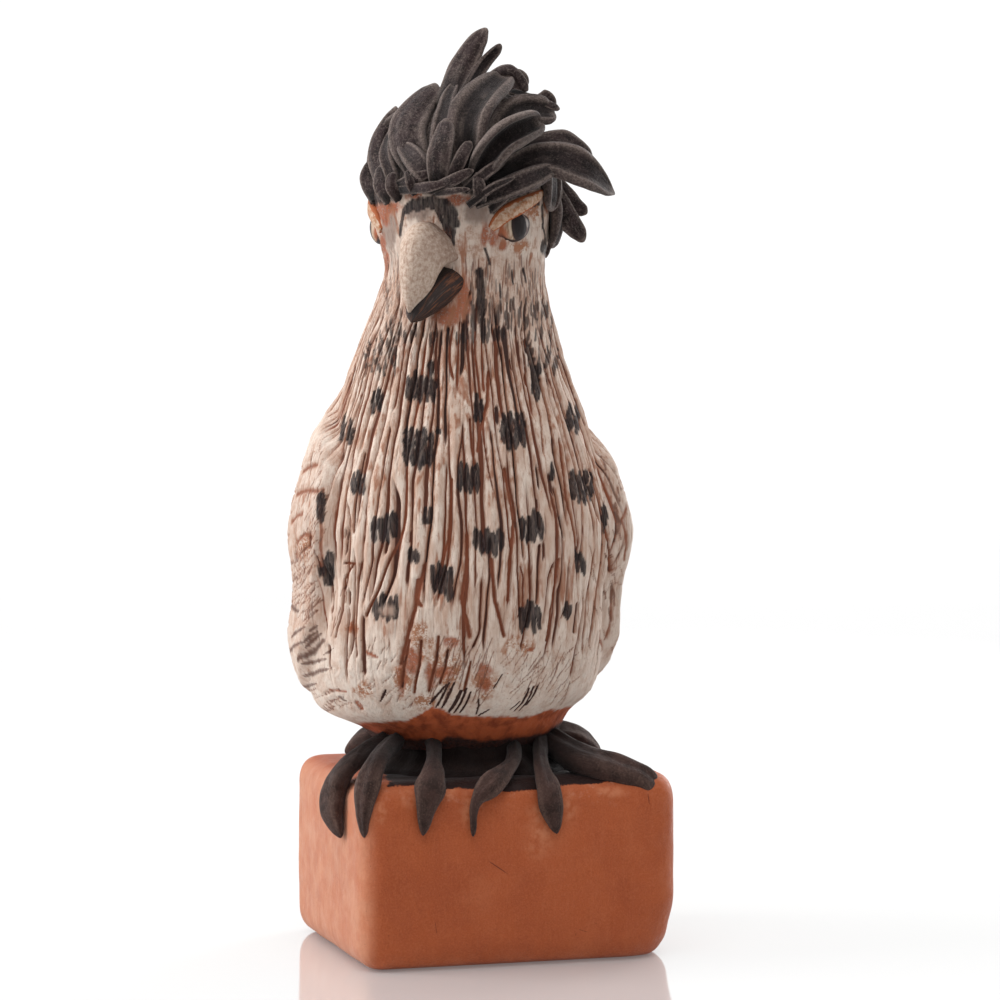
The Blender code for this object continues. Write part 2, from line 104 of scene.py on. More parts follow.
def cloud(tree, where, scale, detail, rough, seed):
    """Cloudy unevenness of the places in where. scale is the lumps to a metre, each way."""
    fit = tree.nodes.new("ShaderNodeMapping")
    fit.inputs["Scale"].default_value = scale
    fit.inputs["Location"].default_value = (seed * 7.3, seed * 3.1, seed * 5.7)
    lumps = tree.nodes.new("ShaderNodeTexNoise")
    lumps.inputs["Scale"].default_value = 1
    lumps.inputs["Detail"].default_value = detail
    lumps.inputs["Roughness"].default_value = rough
    tree.links.new(where, fit.inputs["Vector"])
    tree.links.new(fit.outputs["Vector"], lumps.inputs["Vector"])
    return lumps.outputs["Fac"]


def grain(tree, size, stretch=(1, 1, 1), detail=5, rough=0.55, seed=0):
    """Unevenness in the object's own space. size is that of one lump, in metres."""
    where = tree.nodes.new("ShaderNodeTexCoord").outputs["Object"]
    return cloud(tree, where, [1 / (size * by) for by in stretch], detail, rough, seed)


def between(value, low, high, start=0.0, end=1.0):
    """Turns value from start to end as it goes from low to high, softly."""
    step = value.id_data.nodes.new("ShaderNodeMapRange")
    step.interpolation_type = "SMOOTHSTEP"
    step.inputs["From Min"].default_value = low
    step.inputs["From Max"].default_value = high
    step.inputs["To Min"].default_value = start
    step.inputs["To Max"].default_value = end
    value.id_data.links.new(value, step.inputs["Value"])
    return step.outputs["Result"]


def join(slot, value):
    """Gives a node's slot a plain value, or links another node's value to it."""
    if isinstance(value, (int, float, tuple)):
        slot.default_value = value
    else:
        slot.id_data.links.new(value, slot)


def sums(how, first, second, clamp=True):
    """One sum on two values, of which the second may be a plain number."""
    work = first.id_data.nodes.new("ShaderNodeMath")
    work.operation = how
    work.use_clamp = clamp
    join(work.inputs[0], first)
    join(work.inputs[1], second)
    return work.outputs["Value"]


def laid_over(share, under, over):
    """The colour over laid on the colour under, as thickly as share says."""
    mix = share.id_data.nodes.new("ShaderNodeMix")
    mix.data_type = "RGBA"
    join(mix.inputs[0], share)
    join(mix.inputs[6], under)
    join(mix.inputs[7], over)
    return mix.outputs[2]


def finished(shader, tone, mottled, smoothest, roughest, heights=()):
    """Gives a finish its colour, a roughness that follows the unevenness mottled, and fine
    relief from (height, depth in metres) pairs, one after the other."""
    tree = shader.id_data
    join(shader.inputs["Base Color"], tone)
    join(shader.inputs["Roughness"], between(mottled, *CLOUD_SPREAD, smoothest, roughest))
    slot = shader.inputs["Normal"]
    for height, depth in reversed(heights):
        bump = tree.nodes.new("ShaderNodeBump")
        bump.inputs["Strength"].default_value = 1
        bump.inputs["Distance"].default_value = depth
        join(bump.inputs["Height"], height)
        join(slot, bump.outputs["Normal"])
        slot = bump.inputs["Normal"]


acrylic, tree, shader = start_finish("white_acrylic_sheet", 0.06)
haze = between(grain(tree, 0.6, detail=2), *CLOUD_SPREAD)
finished(shader, laid_over(haze, SHEET_TONE, SHEET_HAZE), grain(tree, 0.4, detail=2, seed=2), 0.05, 0.08)
shader.inputs["Metallic"].default_value = SHEET_METALLIC
shader.inputs["Emission Color"].default_value = WHITE
shader.inputs["Emission Strength"].default_value = SHEET_GLOW
sheet = bpy.data.meshes.new("acrylic_sheet")
corners = [(x * SHEET_HALF, y * SHEET_HALF, 0) for x, y in ((-1, -1), (1, -1), (1, 1), (-1, 1))]
sheet.from_pydata(corners, [], [(0, 1, 2, 3)])
sheet.materials.append(acrylic)
table_top = bpy.data.objects.new("acrylic_sheet", sheet)
bpy.context.scene.collection.objects.link(table_top)

# The room's walls, brighter behind the bird than beside the camera. The camera itself sees
# plain white in every direction.
ROOM_BACK = 1.05
ROOM_FRONT = 0.42
ROOM_BRIGHT_WAY = (0.30, 0.94, 0.15)
ROOM_TURNING = (-0.5, 0.7)

room = bpy.data.worlds.new("white_room")
bpy.context.scene.world = room
room.use_nodes = True
nodes = room.node_tree.nodes
walls = nodes["Background"]
facing = nodes.new("ShaderNodeVectorMath")
facing.operation = "DOT_PRODUCT"
facing.inputs[1].default_value = ROOM_BRIGHT_WAY
join(facing.inputs[0], nodes.new("ShaderNodeTexCoord").outputs["Generated"])
glow = between(facing.outputs["Value"], *ROOM_TURNING, ROOM_FRONT, ROOM_BACK)
to_camera = nodes.new("ShaderNodeLightPath").outputs["Is Camera Ray"]
join(walls.inputs["Strength"], sums("MAXIMUM", glow, to_camera, clamp=False))
walls.inputs["Color"].default_value = WHITE

# Soft boxes on stands round the table: place and what they point at, both in metres, width
# and height, and power in watts.
BIRD_MIDDLE = (0, 0, 0.2)
SOFT_BOXES = {
    "left_soft_box": ((-1.1, 0.25, 0.75), BIRD_MIDDLE, (0.7, 1.2), 13),
    "right_soft_box": ((1.0, 0.75, 0.6), BIRD_MIDDLE, (0.6, 1.1), 10),
    "overhead_soft_box": ((-0.25, -0.55, 1.35), BIRD_MIDDLE, (0.9, 0.9), 8),
}
for name, (place, aim, (wide, high), watts) in SOFT_BOXES.items():
    lamp = bpy.data.lights.new(name, "AREA")
    lamp.shape = "RECTANGLE"
    lamp.size = wide
    lamp.size_y = high
    lamp.energy = watts
    box = bpy.data.objects.new(name, lamp)
    box.location = place
    box.rotation_euler = (Vector(aim) - Vector(place)).to_track_quat("-Z", "Y").to_euler()
    bpy.context.scene.collection.objects.link(box)

# The block: one lump of red clay, beaten nearly square by hand, its edges rounded with a wet
# thumb and rubbed pale, its faces combed faintly by the board it was dragged over. It stands
# a little to the right of and behind the middle of the frame.
BLOCK_WIDTH = 133.6 * MM
BLOCK_DEPTH = 115 * MM
BLOCK_LOW, BLOCK_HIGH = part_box("block")
BLOCK_HEIGHT = BLOCK_HIGH.z - BLOCK_LOW.z
BLOCK_RIGHT = 1.9 * MM
BLOCK_BACK = 4 * MM
BLOCK_EDGE = 12 * MM
EDGE_POWER = 2.7
BLOCK_BULGE = 1.5 * MM
BULGE_POWER = 6
UPRIGHT_REACH = 24 * MM
UPRIGHT_PULL = 2.6 * MM
BLOCK_CELLS = 72
CELL_PACKING = 0.85
BLOCK_DENTS = 0.45 * MM
DENT_FOOT = 4 * MM

# Half the sizes of the plain box that the dents, the marks and the toes go by.
BLOCK_HALF = np.array([69.75, 54.75, 37.5]) * MM


def soft_step(low, high, value):
    """From 0 at low to 1 at high, softly, for numbers or arrays."""
    t = np.clip((np.asarray(value, float) - low) / (high - low), 0, 1)
    return t * t * (3 - 2 * t)


def unit(vectors):
    """Vectors made one long. Those without a length stay as they are."""
    return vectors / np.maximum(np.linalg.norm(vectors, axis=-1, keepdims=True), 1e-12)


def mottle(points, size, seed):
    """Smooth unevenness from about -1 to 1 at each point. size is that of one lump."""
    shift = Vector((seed * 11.7, seed * 5.3, seed * 8.9))
    return np.array([noise.noise(Vector(point) / size + shift) for point in points])


def grid_faces(rows, columns, closed=True):
    """Quads between neighbouring rows of points. closed joins the last column to the first."""
    row, column = np.mgrid[0 : rows - 1, 0 : columns if closed else columns - 1]
    beside = (column + 1) % columns
    corners = (row * columns + column, row * columns + beside)
    above = ((row + 1) * columns + beside, (row + 1) * columns + column)
    return np.stack([*corners, *above], -1).reshape(-1, 4)


def marked(tree, name):
    """One of a piece's own marks, as its finish reads it."""
    mark = tree.nodes.new("ShaderNodeAttribute")
    mark.attribute_name = name
    return mark.outputs["Fac"]


def coated(tree, tone, *coats):
    """A colour with coats laid over it in turn. Each coat has the mark that it keeps to, or
    None, how thickly it lies there, and its colour."""
    for mark, share, over in coats:
        if mark:
            share = sums("MULTIPLY", marked(tree, mark), share)
        tone = laid_over(share, tone, over)
    return tone


def clay_piece(name, points, faces, marks, finish, stands_for="bird", slot="slipped_clay"):
    """A smooth skin of clay. marks are named values at its points, which its finish reads."""
    shape = bpy.data.meshes.new(name)
    shape.from_pydata(np.asarray(points).tolist(), [], [list(face) for face in faces])
    shape.materials.append(finish)
    for mark, values in marks.items():
        layer = shape.attributes.new(mark, "FLOAT", "POINT")
        layer.data.foreach_set("value", np.asarray(values, np.float32))
    shape.shade_smooth()
    piece = bpy.data.objects.new(name, shape)
    bpy.context.scene.collection.objects.link(piece)
    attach(piece, "root")
    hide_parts(stands_for)
    return piece


def block_grid():
    """Points and quads of a cube from -1 to 1, each side cut into cells, welded at its edges."""
    steps = np.linspace(-1, 1, BLOCK_CELLS + 1)
    across, up = np.meshgrid(steps, steps)
    welded, faces = {}, []
    for axis in range(3):
        for side in (-1, 1):
            side_points = np.zeros((BLOCK_CELLS + 1, BLOCK_CELLS + 1, 3))
            side_points[..., axis] = side
            side_points[..., (axis + 1) % 3] = across * side
            side_points[..., (axis + 2) % 3] = up
            keys = [tuple(np.round(point, 6)) for point in side_points.reshape(-1, 3)]
            at = np.array([welded.setdefault(key, len(welded)) for key in keys])
            faces.append(at[grid_faces(BLOCK_CELLS + 1, BLOCK_CELLS + 1, closed=False)])
    return np.array(list(welded)), np.concatenate(faces)


def block_skin(cube):
    """The block's rounded, gently swollen skin, from the points of a cube."""
    packed = np.where(np.abs(cube) < 1, np.sin(np.abs(cube) * math.pi / 2) ** CELL_PACKING, 1)
    half = np.array([BLOCK_WIDTH, BLOCK_DEPTH, BLOCK_HEIGHT]) / 2
    place = np.copysign(packed, cube) * half
    core = np.clip(place, BLOCK_EDGE - half, half - BLOCK_EDGE)
    away = place - core
    length = (np.abs(away) ** EDGE_POWER).sum(1, keepdims=True) ** (1 / EDGE_POWER)
    place = core + away / np.maximum(length, 1e-9) * np.minimum(BLOCK_EDGE, length * 10)
    swell = np.maximum(1 - (place / half) ** 2, 0)
    for axis in range(2):
        bulge = np.copysign(BLOCK_BULGE * swell[:, 1 - axis] * swell[:, 2], place[:, axis])
        place[:, axis] += bulge * (np.abs(place[:, axis]) / half[axis]) ** BULGE_POWER
    # The right front edge is rounder than the others, most of all at the foot.
    upright = soft_step(UPRIGHT_REACH, 0, (half - np.abs(place))[:, :2]).prod(1)
    upright = upright * (0.5 + 1.5 * soft_step(-0.3, -1, place[:, 2] / half[2]))
    upright = upright * (place[:, 0] > 0) * (place[:, 1] < 0)
    place[:, :2] -= np.sign(place[:, :2]) * UPRIGHT_PULL * upright[:, None]
    return place + np.array([BLOCK_RIGHT, BLOCK_BACK, half[2]])


cube, block_faces = block_grid()
plain_block = block_skin(cube)
inward = plain_block - np.array([0, 0, BLOCK_HEIGHT / 2])
dented_way = unit(inward - np.clip(inward, BLOCK_EDGE - BLOCK_HALF, BLOCK_HALF - BLOCK_EDGE))
dents = mottle(plain_block, 22 * MM, 1) + 0.35 * mottle(plain_block, 6 * MM, 2) - 0.2
dents = BLOCK_DENTS * dents * soft_step(0, DENT_FOOT, plain_block[:, 2])
block_points = plain_block + dented_way * dents[:, None]

# How far each point lies from the middle of the block to its sides, its back and its top.
share_x, share_y, share_z = (inward / BLOCK_HALF).T
near_edge = np.sort(np.abs(inward) / BLOCK_HALF, axis=1)[:, 1]
on_front_half = share_y < 0

# Black slip that ran from the feet over the top, with painted shade under the bird in the
# same dark colour, down to a ragged line through the photograph's pixels, and clay smeared up
# beside the claws: middle and half width and height.
STAIN_AND_SHADE_LINE = (
    (384, 770), (388, 785), (420, 785), (446, 788), (480, 788), (500, 791), (530, 790), (545, 788),
    (560, 785), (600, 783), (636, 779), (642, 760),
)
STAIN_AND_SHADE_HALF_WIDTH = 52 * MM
STAIN_AND_SHADE_BACK = 38 * MM
SMEARS = (
    (409, 800, 8, 8), (568, 806, 8, 16), (540, 812, 12, 10), (466, 810, 5, 18), (347, 826, 5, 12),
    (448, 792, 9, 7), (540, 835, 14, 22), (380, 812, 6, 12), (610, 792, 16, 6), (325, 770, 8, 10),
)
block_x, block_y = in_photo(block_points)
ragged = 0.5 * mottle(block_points, 5 * MM, 21) + 0.4 * mottle(block_points, 2 * MM, 22)
line_y = np.interp(block_x, *zip(*STAIN_AND_SHADE_LINE), left=0, right=0)
from_feet = np.hypot(inward[:, 0] / STAIN_AND_SHADE_HALF_WIDTH, np.maximum(inward[:, 1], 0) / STAIN_AND_SHADE_BACK)
stain_and_shade = soft_step(2.5, -1.5, block_y - line_y + 3 * ragged) * soft_step(0.5, 0.8, share_z)
stain_and_shade = stain_and_shade * soft_step(1.1, 0.9, from_feet + 0.2 * ragged)
stain_and_shade = stain_and_shade * soft_step(0.9, 0.97, share_z + 0.5 * on_front_half)
smeared = np.zeros(len(block_points))
for x, y, half_wide, half_high in SMEARS:
    off = np.hypot((block_x - x) / half_wide, (block_y - y) / half_high)
    smeared = np.maximum(smeared, soft_step(1.4, 0.3, off + 0.5 * ragged))
block_marks = {
    "rubbed": soft_step(0.80, 0.97, near_edge),
    "under_feet": soft_step(0.6, 0.98, share_z) * soft_step(1.1, 0.3, np.abs(share_x)),
    "stain_and_shade": stain_and_shade,
    "smeared": smeared * on_front_half,
    # the whole left face paler: painted sheen where the left lamp grazes it
    "left_face_sheen": soft_step(-0.82, -0.935, share_x),
}

# Scratches on the block's front, in mm to the right of its middle and over its foot: both
# ends and the half width.
BLOCK_SCRATCHES = (
    ((-14, 43.5), (-4.5, 37), 0.35),
    ((54, 67.5), (54.6, 62.5), 0.3),
    ((-35.5, 20), (-34.5, 14), 0.16),
    ((24, 14), (29, 12.4), 0.16),
)
BLOCK_FRONT = (-52 * MM, -48 * MM)


def scratch(place, start, end, half):
    """How far the finish at a place lies inside a straight scratch, from 0 to 1."""
    run, rise = (b - a for a, b in zip(start, end))
    length = math.hypot(run, rise)
    off = [sums("SUBTRACT", at, from_mm * MM, clamp=False) for at, from_mm in zip(place, start)]
    turned = []
    for way in ((run, rise), (-rise, run)):
        parts = [sums("MULTIPLY", part, by / length, clamp=False) for part, by in zip(off, way)]
        turned.append(sums("ADD", *parts, clamp=False))
    along, side = turned
    fading = between(along, 0.6 * length * MM, length * MM)
    within = sums("SUBTRACT", between(along, 0, 0.2 * length * MM), fading)
    return sums("MULTIPLY", within, between(sums("ABSOLUTE", side, 0), 0, half * MM, 1, 0))


RED_CLAY = colour(173, 87, 49)
RED_CLAY_DARK = colour(160, 77, 43)
RED_CLAY_PALE = colour(190, 108, 70)
RED_CLAY_SALT = colour(214, 164, 138)
CLAY_SAND_DARK = colour(138, 64, 36)
CLAY_LEFT_SHEEN = colour(200, 142, 112)
CLAY_SPECKS = colour(96, 44, 28)
CLAY_CUT = colour(100, 46, 28)
CLAY_SMEARED = colour(198, 124, 88)
CLAY_STAIN_AND_SHADE = colour(32, 10, 6)
CLAY_SHEEN = 0.12

terracotta, tree, shader = start_finish("fired_red_clay", 0.7, specular=0.2, sheen=CLAY_SHEEN)
sand = grain(tree, 0.7 * MM, detail=6, rough=0.65, seed=9)
drag = grain(tree, 2.2 * MM, stretch=(1, 1, 9), detail=3, seed=6)
salt = grain(tree, 4 * MM, detail=8, rough=0.7, seed=5)
tone = coated(
    tree,
    RED_CLAY,
    (None, between(grain(tree, 22 * MM, detail=3, seed=1), 0.36, 0.66, 0, 0.7), RED_CLAY_DARK),
    (None, between(grain(tree, 26 * MM, detail=7, seed=3), 0.5, 0.78, 0, 0.4), RED_CLAY_PALE),
    ("rubbed", between(grain(tree, 5 * MM, seed=4), 0.36, 0.66, 0.1, 0.55), RED_CLAY_PALE),
    ("under_feet", between(salt, 0.52, 0.74, 0, 0.7), RED_CLAY_SALT),
    (None, between(drag, 0.52, 0.78, 0, 0.22), RED_CLAY_PALE),
    (None, between(sand, 0.50, 0.62, 0, 0.30), RED_CLAY_PALE),
    (None, between(sand, 0.47, 0.36, 0, 0.28), CLAY_SAND_DARK),
    # painted sheen over the left face
    ("left_face_sheen", between(grain(tree, 9 * MM, detail=7, seed=12), 0.3, 0.7, 0.4, 0.8), CLAY_LEFT_SHEEN),
    (None, between(grain(tree, 0.9 * MM, detail=2, seed=7), 0.70, 0.78, 0, 0.6), CLAY_SPECKS),
)
split = tree.nodes.new("ShaderNodeSeparateXYZ")
join(split.inputs["Vector"], tree.nodes.new("ShaderNodeTexCoord").outputs["Object"])
on_front = between(split.outputs["Y"], *BLOCK_FRONT, 1, 0)
for start, end, half in BLOCK_SCRATCHES:
    cut = scratch((split.outputs["X"], split.outputs["Z"]), start, end, half)
    tone = laid_over(sums("MULTIPLY", cut, on_front), tone, CLAY_CUT)
stain_and_shade_edge = sums("ADD", marked(tree, "stain_and_shade"), between(sand, *CLOUD_SPREAD, -0.25, 0.25))
tone = coated(
    tree,
    tone,
    ("smeared", between(grain(tree, 3 * MM, seed=11), 0.36, 0.62, 0.05, 0.75), CLAY_SMEARED),
    # black slip from the feet, with painted shade under the bird
    (None, between(stain_and_shade_edge, 0.22, 0.72), CLAY_STAIN_AND_SHADE),
)
chatter = grain(tree, 3 * MM, seed=10)
relief_layers = [(drag, 0.25 * MM), (sand, 0.22 * MM), (chatter, 0.3 * MM)]
finished(shader, tone, grain(tree, 8 * MM, seed=8), 0.5, 0.72, relief_layers)
clay_piece("terracotta_block", block_points, block_faces, block_marks, terracotta, "block", "terracotta")

# The bird's body: one hollow lump of red clay, thrown up in coils and paddled round, brushed
# with cream slip and then carved through to the red clay with a loop tool, from the neck
# down to the skirt. Sizes in parts are shares of the bird's own height.
BIRD_HEIGHT = 303.5 * MM
PART = BIRD_HEIGHT / 311
BIRD_RIGHT = -8.7 * MM
BIRD_BACK = 2.6 * MM
BODY_TURN = math.radians(-5.5)
HEAD_TURN = math.radians(-40.5)
CREST_TURN = math.radians(-16.5)

# Height over the block, half width, reach to the front and to the back, and shift sideways.
BODY_SECTIONS = (
    (9.5, 36, 31, 31, 1),
    (17, 42, 38, 38, 0),
    (24, 52, 45, 45, -6),
    (31, 58.5, 51, 50, -4.5),
    (41, 61.7, 57, 55, -3.8),
    (54, 63, 60, 57, -3),
    (75, 62.5, 62.5, 59, -1.5),
    (100, 66, 60.5, 57, 0),
    (126, 59.7, 56, 52.5, -0.5),
    (145, 53.5, 50.5, 48, -0.5),
    (157, 49.5, 46, 45, -0.5),
    (176, 43, 40.5, 41, -0.5),
    (195, 36.5, 35.5, 36, 1),
    (208, 33.5, 33.5, 34, 2),
    (226, 36, 35.5, 36.5, 1),
    (240, 37, 36, 37, 0.5),
    (254, 34, 29, 34, 1),
    (265, 29.5, 26, 31, 3),
    (275, 21, 18, 23, 6),
    (282, 9, 8, 10, 8),
)
SECTION_ROUNDNESS = 2.25

# The folded wings, in parts: how many degrees round from the breastbone their front edge is
# at some heights, where they start and end, how much higher the shoulder on the left is, how
# far they stand out, how soft their edges are, and where they flatten towards the back.
WING_FRONT = ((22, 150), (28, 112), (36, 86), (50, 72), (80, 63), (110, 61), (135, 68), (150, 88))
WING_TOP = 150
LEFT_SHOULDER = 13
WING_BOTTOM = 16
WING_FULL = 58
WING_LIFT = 6.5
WING_EDGE = 8
WING_TOP_EDGE = 26
WING_FLATTENS = (128, 168)
WING_FLATTENED = 0.75

# The skin is a grid of points, closest together on the side that the camera sees, which
# reaches so many degrees to both sides of its middle.
SKIN_COLUMNS = 840
SKIN_ROWS = 340
CLOSE_MIDDLE = math.degrees(CREST_TURN - BODY_TURN)
CLOSE_HALF = 98
CLOSE_FADE = 12
SEEN_HALF = 96
FAR_SHARE = 0.42


def curve_through(points, at):
    """A smooth curve through (place, value) points, read at the places in at."""
    places, values = (np.array(row, float) for row in zip(*points))
    slopes = np.gradient(values, places)
    at = np.clip(at, places[0], places[-1])
    span = np.clip(np.searchsorted(places, at, side="right") - 1, 0, len(places) - 2)
    width = places[span + 1] - places[span]
    t = (at - places[span]) / width
    rise = t * t * (3 - 2 * t)
    start = values[span] * (1 - rise) + values[span + 1] * rise
    lean = slopes[span] * t * (1 - t) ** 2 - slopes[span + 1] * t * t * (1 - t)
    return start + lean * width


def placed(turn, right, near, up):
    """Points in the bird's frame, in parts, seen from the direction turn."""
    right, near, up = np.broadcast_arrays(right, near, up)
    x = BIRD_RIGHT + PART * (right * math.cos(turn) + near * math.sin(turn))
    y = BIRD_BACK + PART * (right * math.sin(turn) - near * math.cos(turn))
    return np.stack([x, y, BLOCK_HEIGHT + PART * up], -1)


def body_radius(around, up):
    """The body's reach from its axis, in parts. around is in radians from the breastbone."""
    columns = [[(s[0], s[k]) for s in BODY_SECTIONS] for k in (1, 2, 3)]
    side, front, back = (curve_through(points, up) for points in columns)
    depth = np.where(np.cos(around) > 0, front, back)
    power = SECTION_ROUNDNESS
    reach = np.abs(np.sin(around) / side) ** power + np.abs(np.cos(around) / depth) ** power
    return reach ** (-1 / power)


def wing_inward(around, up):
    """How far a point lies behind the wing's front edge, in parts; negative in front of it."""
    turned = np.degrees(np.abs(around))
    return np.radians(turned - curve_through(WING_FRONT, up)) * body_radius(around, up)


def wing_share(around, up):
    """From 0 off the folded wings to 1 where they stand fully out of the body."""
    rise = soft_step(0, WING_EDGE, wing_inward(around, up))
    turned = np.degrees(around)
    top = WING_TOP + LEFT_SHOULDER * soft_step(0, -60, turned) * soft_step(-180, -150, turned)
    rise = rise * soft_step(0, WING_TOP_EDGE, top - up) * soft_step(WING_BOTTOM, WING_FULL, up)
    return rise * (1 - WING_FLATTENED * soft_step(*WING_FLATTENS, np.abs(turned)))


def skin_points(around, up, relief=0.0):
    """The body's skin. relief is how far it stands out of the plain form, in parts."""
    reach = body_radius(around, up) + wing_share(around, up) * WING_LIFT + relief
    shift = curve_through([(s[0], s[4]) for s in BODY_SECTIONS], up)
    return placed(BODY_TURN, reach * np.sin(around) + shift, reach * np.cos(around), up)


def skin_columns():
    """The columns' directions in radians, from behind on the left round to behind again."""
    fine = np.linspace(-180, 180, 3601)
    off = np.abs((fine - CLOSE_MIDDLE + 180) % 360 - 180)
    density = FAR_SHARE + (1 - FAR_SHARE) * soft_step(CLOSE_HALF + CLOSE_FADE, CLOSE_HALF, off)
    so_far = np.concatenate([[0], np.cumsum((density[1:] + density[:-1]) / 2)])
    shares = np.arange(SKIN_COLUMNS) / SKIN_COLUMNS
    return np.radians(np.interp(shares, so_far / so_far[-1], fine))


turns = skin_columns()
levels = np.linspace(BODY_SECTIONS[0][0], BODY_SECTIONS[-1][0], SKIN_ROWS)
around, up = np.meshgrid(turns, levels)
plain_skin = skin_points(around, up)
plain_reach = body_radius(around, up) + wing_share(around, up) * WING_LIFT
front_x, seen_y = in_photo(plain_skin)
turned_away = np.abs(np.degrees(around) - CLOSE_MIDDLE) > SEEN_HALF
seen_x = np.where(turned_away, -PHOTO_PIXELS, front_x)


def on_skin(x, y):
    """Where the photograph's pixel x, y lies on the skin: radians round, and parts up."""
    nearest = np.argmin((seen_x - x) ** 2 + (seen_y - y) ** 2)
    return around.flat[nearest], up.flat[nearest]


# The carving. A gouge runs from a top to a bottom; the ridges between gouges are the
# feathers. Widths and depths are in millimetres, heights in parts, directions in radians.
# A gouge is a row of eleven numbers: its direction, top and bottom, its half width, depth
# and darkness, how far its two ends lean aside, how much of it each end takes to thin out,
# and how much wider it is at the bottom than at the top. From RAGGED_SKIRT_FROM degrees
# round on, the lower ends are less even.
FEATHERS_ROUND = 108
GOUGE_TOP = 198
GOUGE_BOTTOM = 48
RAGGED_SKIRT_FROM = 70
GOUGE_SHOULDER = 1.25
GOUGE_STAIN = 0.75
LOOSE_SHARP = 0.35
WING_SPARED = 0.62
RNG = np.random.RandomState(41)


def wrapped(turn):
    """A direction in radians, from half a turn to the left to half a turn to the right."""
    return (turn + math.pi) % (2 * math.pi) - math.pi


def gouge_field(gouges, reach):
    """How deep a set of gouges cuts each point of the skin, in mm, how far the point is
    inside one and in its brown edge, both from 0 to 1, and the darkness of that one."""
    depth = np.zeros_like(around)
    inside = np.zeros_like(around)
    stain = np.zeros_like(around)
    dark = np.zeros_like(around)
    home, top, low, wide, deep, tone, lean_top, lean_low, sharp_top, sharp_low, open_low = gouges.T
    for row, level in enumerate(levels):
        on = np.where((top > level) & (low < level))[0]
        if not len(on):
            continue
        t = (top[on] - level) / (top[on] - low[on])
        middle = home[on] + sway(home[on], level)
        middle += lean_top[on] * soft_step(0.3, 0, t) + lean_low[on] * soft_step(0.7, 1, t)
        full = soft_step(0, sharp_top[on], t) * soft_step(1, 1 - sharp_low[on], t)
        # A stroke thins out to a fifth of its width at both ends, and wavers in between.
        half = wide[on] * (0.2 + 0.8 * full) * (1 + open_low[on] * (t - 0.5))
        half = half * (1 + 0.3 * np.sin(level / 8 + 91 * home[on]))
        off = wrapped(turns[:, None] - middle[None, :])
        off = np.abs(off) * reach[row][:, None] * PART / MM
        core = np.exp(-((off / half) ** 4)) * full
        shoulder = np.exp(-((off / (half + GOUGE_SHOULDER)) ** 2)) * full
        edge = np.exp(-((off / (half + GOUGE_STAIN)) ** 2)) * full * (0.55 + 0.45 * tone[on])
        cut = deep[on] * (0.55 * core + 0.45 * shoulder)
        deepest = np.argmax(core, axis=1)
        depth[row] = cut.max(axis=1)
        inside[row] = core.max(axis=1)
        stain[row] = edge.max(axis=1)
        dark[row] = tone[on][deepest]
    return depth, inside, stain, dark


def sway(home, level):
    """The slow waver that neighbouring feathers share, in radians."""
    slow = 0.018 * np.sin(level / 44 + 5 * home) + 0.011 * np.sin(level / 17 + 17 * home)
    return slow + 0.0045 * np.sin(level / 6 + 43 * home) + 0.0018 * np.sin(level / 2.6 + 71 * home)


def main_gouges():
    """The long gouges that part the feathers, in columns, each a chain of several strokes."""
    pitch = 2 * math.pi / FEATHERS_ROUND
    made = []
    for k in range(FEATHERS_ROUND):
        home = -math.pi + (k + 0.5 + RNG.uniform(-0.3, 0.3)) * pitch
        skirt = GOUGE_BOTTOM + RNG.uniform(-12, 24)
        if abs(math.degrees(home)) > RAGGED_SKIRT_FROM:
            skirt += RNG.uniform(0, 22)
        top = GOUGE_TOP + RNG.uniform(-14, 10)
        while top > skirt + 12:
            low = max(top - RNG.uniform(36, 150), skirt)
            joins_top = RNG.choice((-1, 0, 1), p=(0.25, 0.5, 0.25))
            joins_low = RNG.choice((-1, 0, 1), p=(0.25, 0.5, 0.25))
            half = RNG.uniform(0.22, 0.66) * RNG.choice((1, 1.9), p=(0.74, 0.26))
            cut = (half, RNG.uniform(1.2, 2.6), RNG.uniform(0, 1) ** 1.2)
            leans = (joins_top * pitch * RNG.uniform(0.5, 1), joins_low * pitch * RNG.uniform(0.5, 1))
            ends = (RNG.uniform(0.06, 0.25), RNG.uniform(0.06, 0.25), RNG.uniform(-1.1, 1.1))
            made.append((home, top, low, *cut, *leans, *ends))
            top = low + RNG.uniform(-7, 4)
    return np.array(made)


def loose_gouges(count, top, low, longest, wide, deep, tone):
    """Shorter strokes laid anywhere between the others."""
    length = RNG.uniform(0.3, 1, count) * longest
    start = RNG.uniform(low, top, count)
    home = RNG.uniform(-math.pi, math.pi, count)
    half = RNG.uniform(0.6, 1.3, count) * wide
    depth = RNG.uniform(0.5, 1.2, count) * deep
    darkness = RNG.uniform(*tone, count)
    opening = RNG.uniform(-0.8, 0.8, count)
    straight = np.zeros(count)
    sharp = straight + LOOSE_SHARP
    columns = (home, start, start - length, half, depth, darkness, straight, straight, sharp, sharp, opening)
    return np.stack(columns, 1)


# Hairlines on the feathers, deep almond slits between them and fine lines round the neck:
# how many, highest and lowest start, greatest length, width, depth, darkness and strength.
LOOSE_GOUGES = (
    (1250, 204, 54, 34, 0.2, 0.45, (0.1, 0.7), 0.62),
    (90, 196, 78, 20, 0.62, 2.2, (0.6, 1), 1.0),
    (760, 218, 168, 17, 0.3, 0.6, (0.3, 1), 0.68),
)

wing = wing_share(around, up)
lighter = 1 - WING_SPARED * wing
depth, inside, stain, dark = gouge_field(main_gouges(), plain_reach)
depth, inside, stain = depth * lighter, inside * lighter, stain * lighter
for *strokes, strength in LOOSE_GOUGES:
    loose_depth, loose_inside, loose_stain, loose_dark = gouge_field(loose_gouges(*strokes), plain_reach)
    dark = np.where(loose_inside * strength > inside, loose_dark, dark)
    depth = np.maximum(depth, loose_depth)
    inside = np.maximum(inside, loose_inside * strength)
    stain = np.maximum(stain, loose_stain * strength * 0.7)


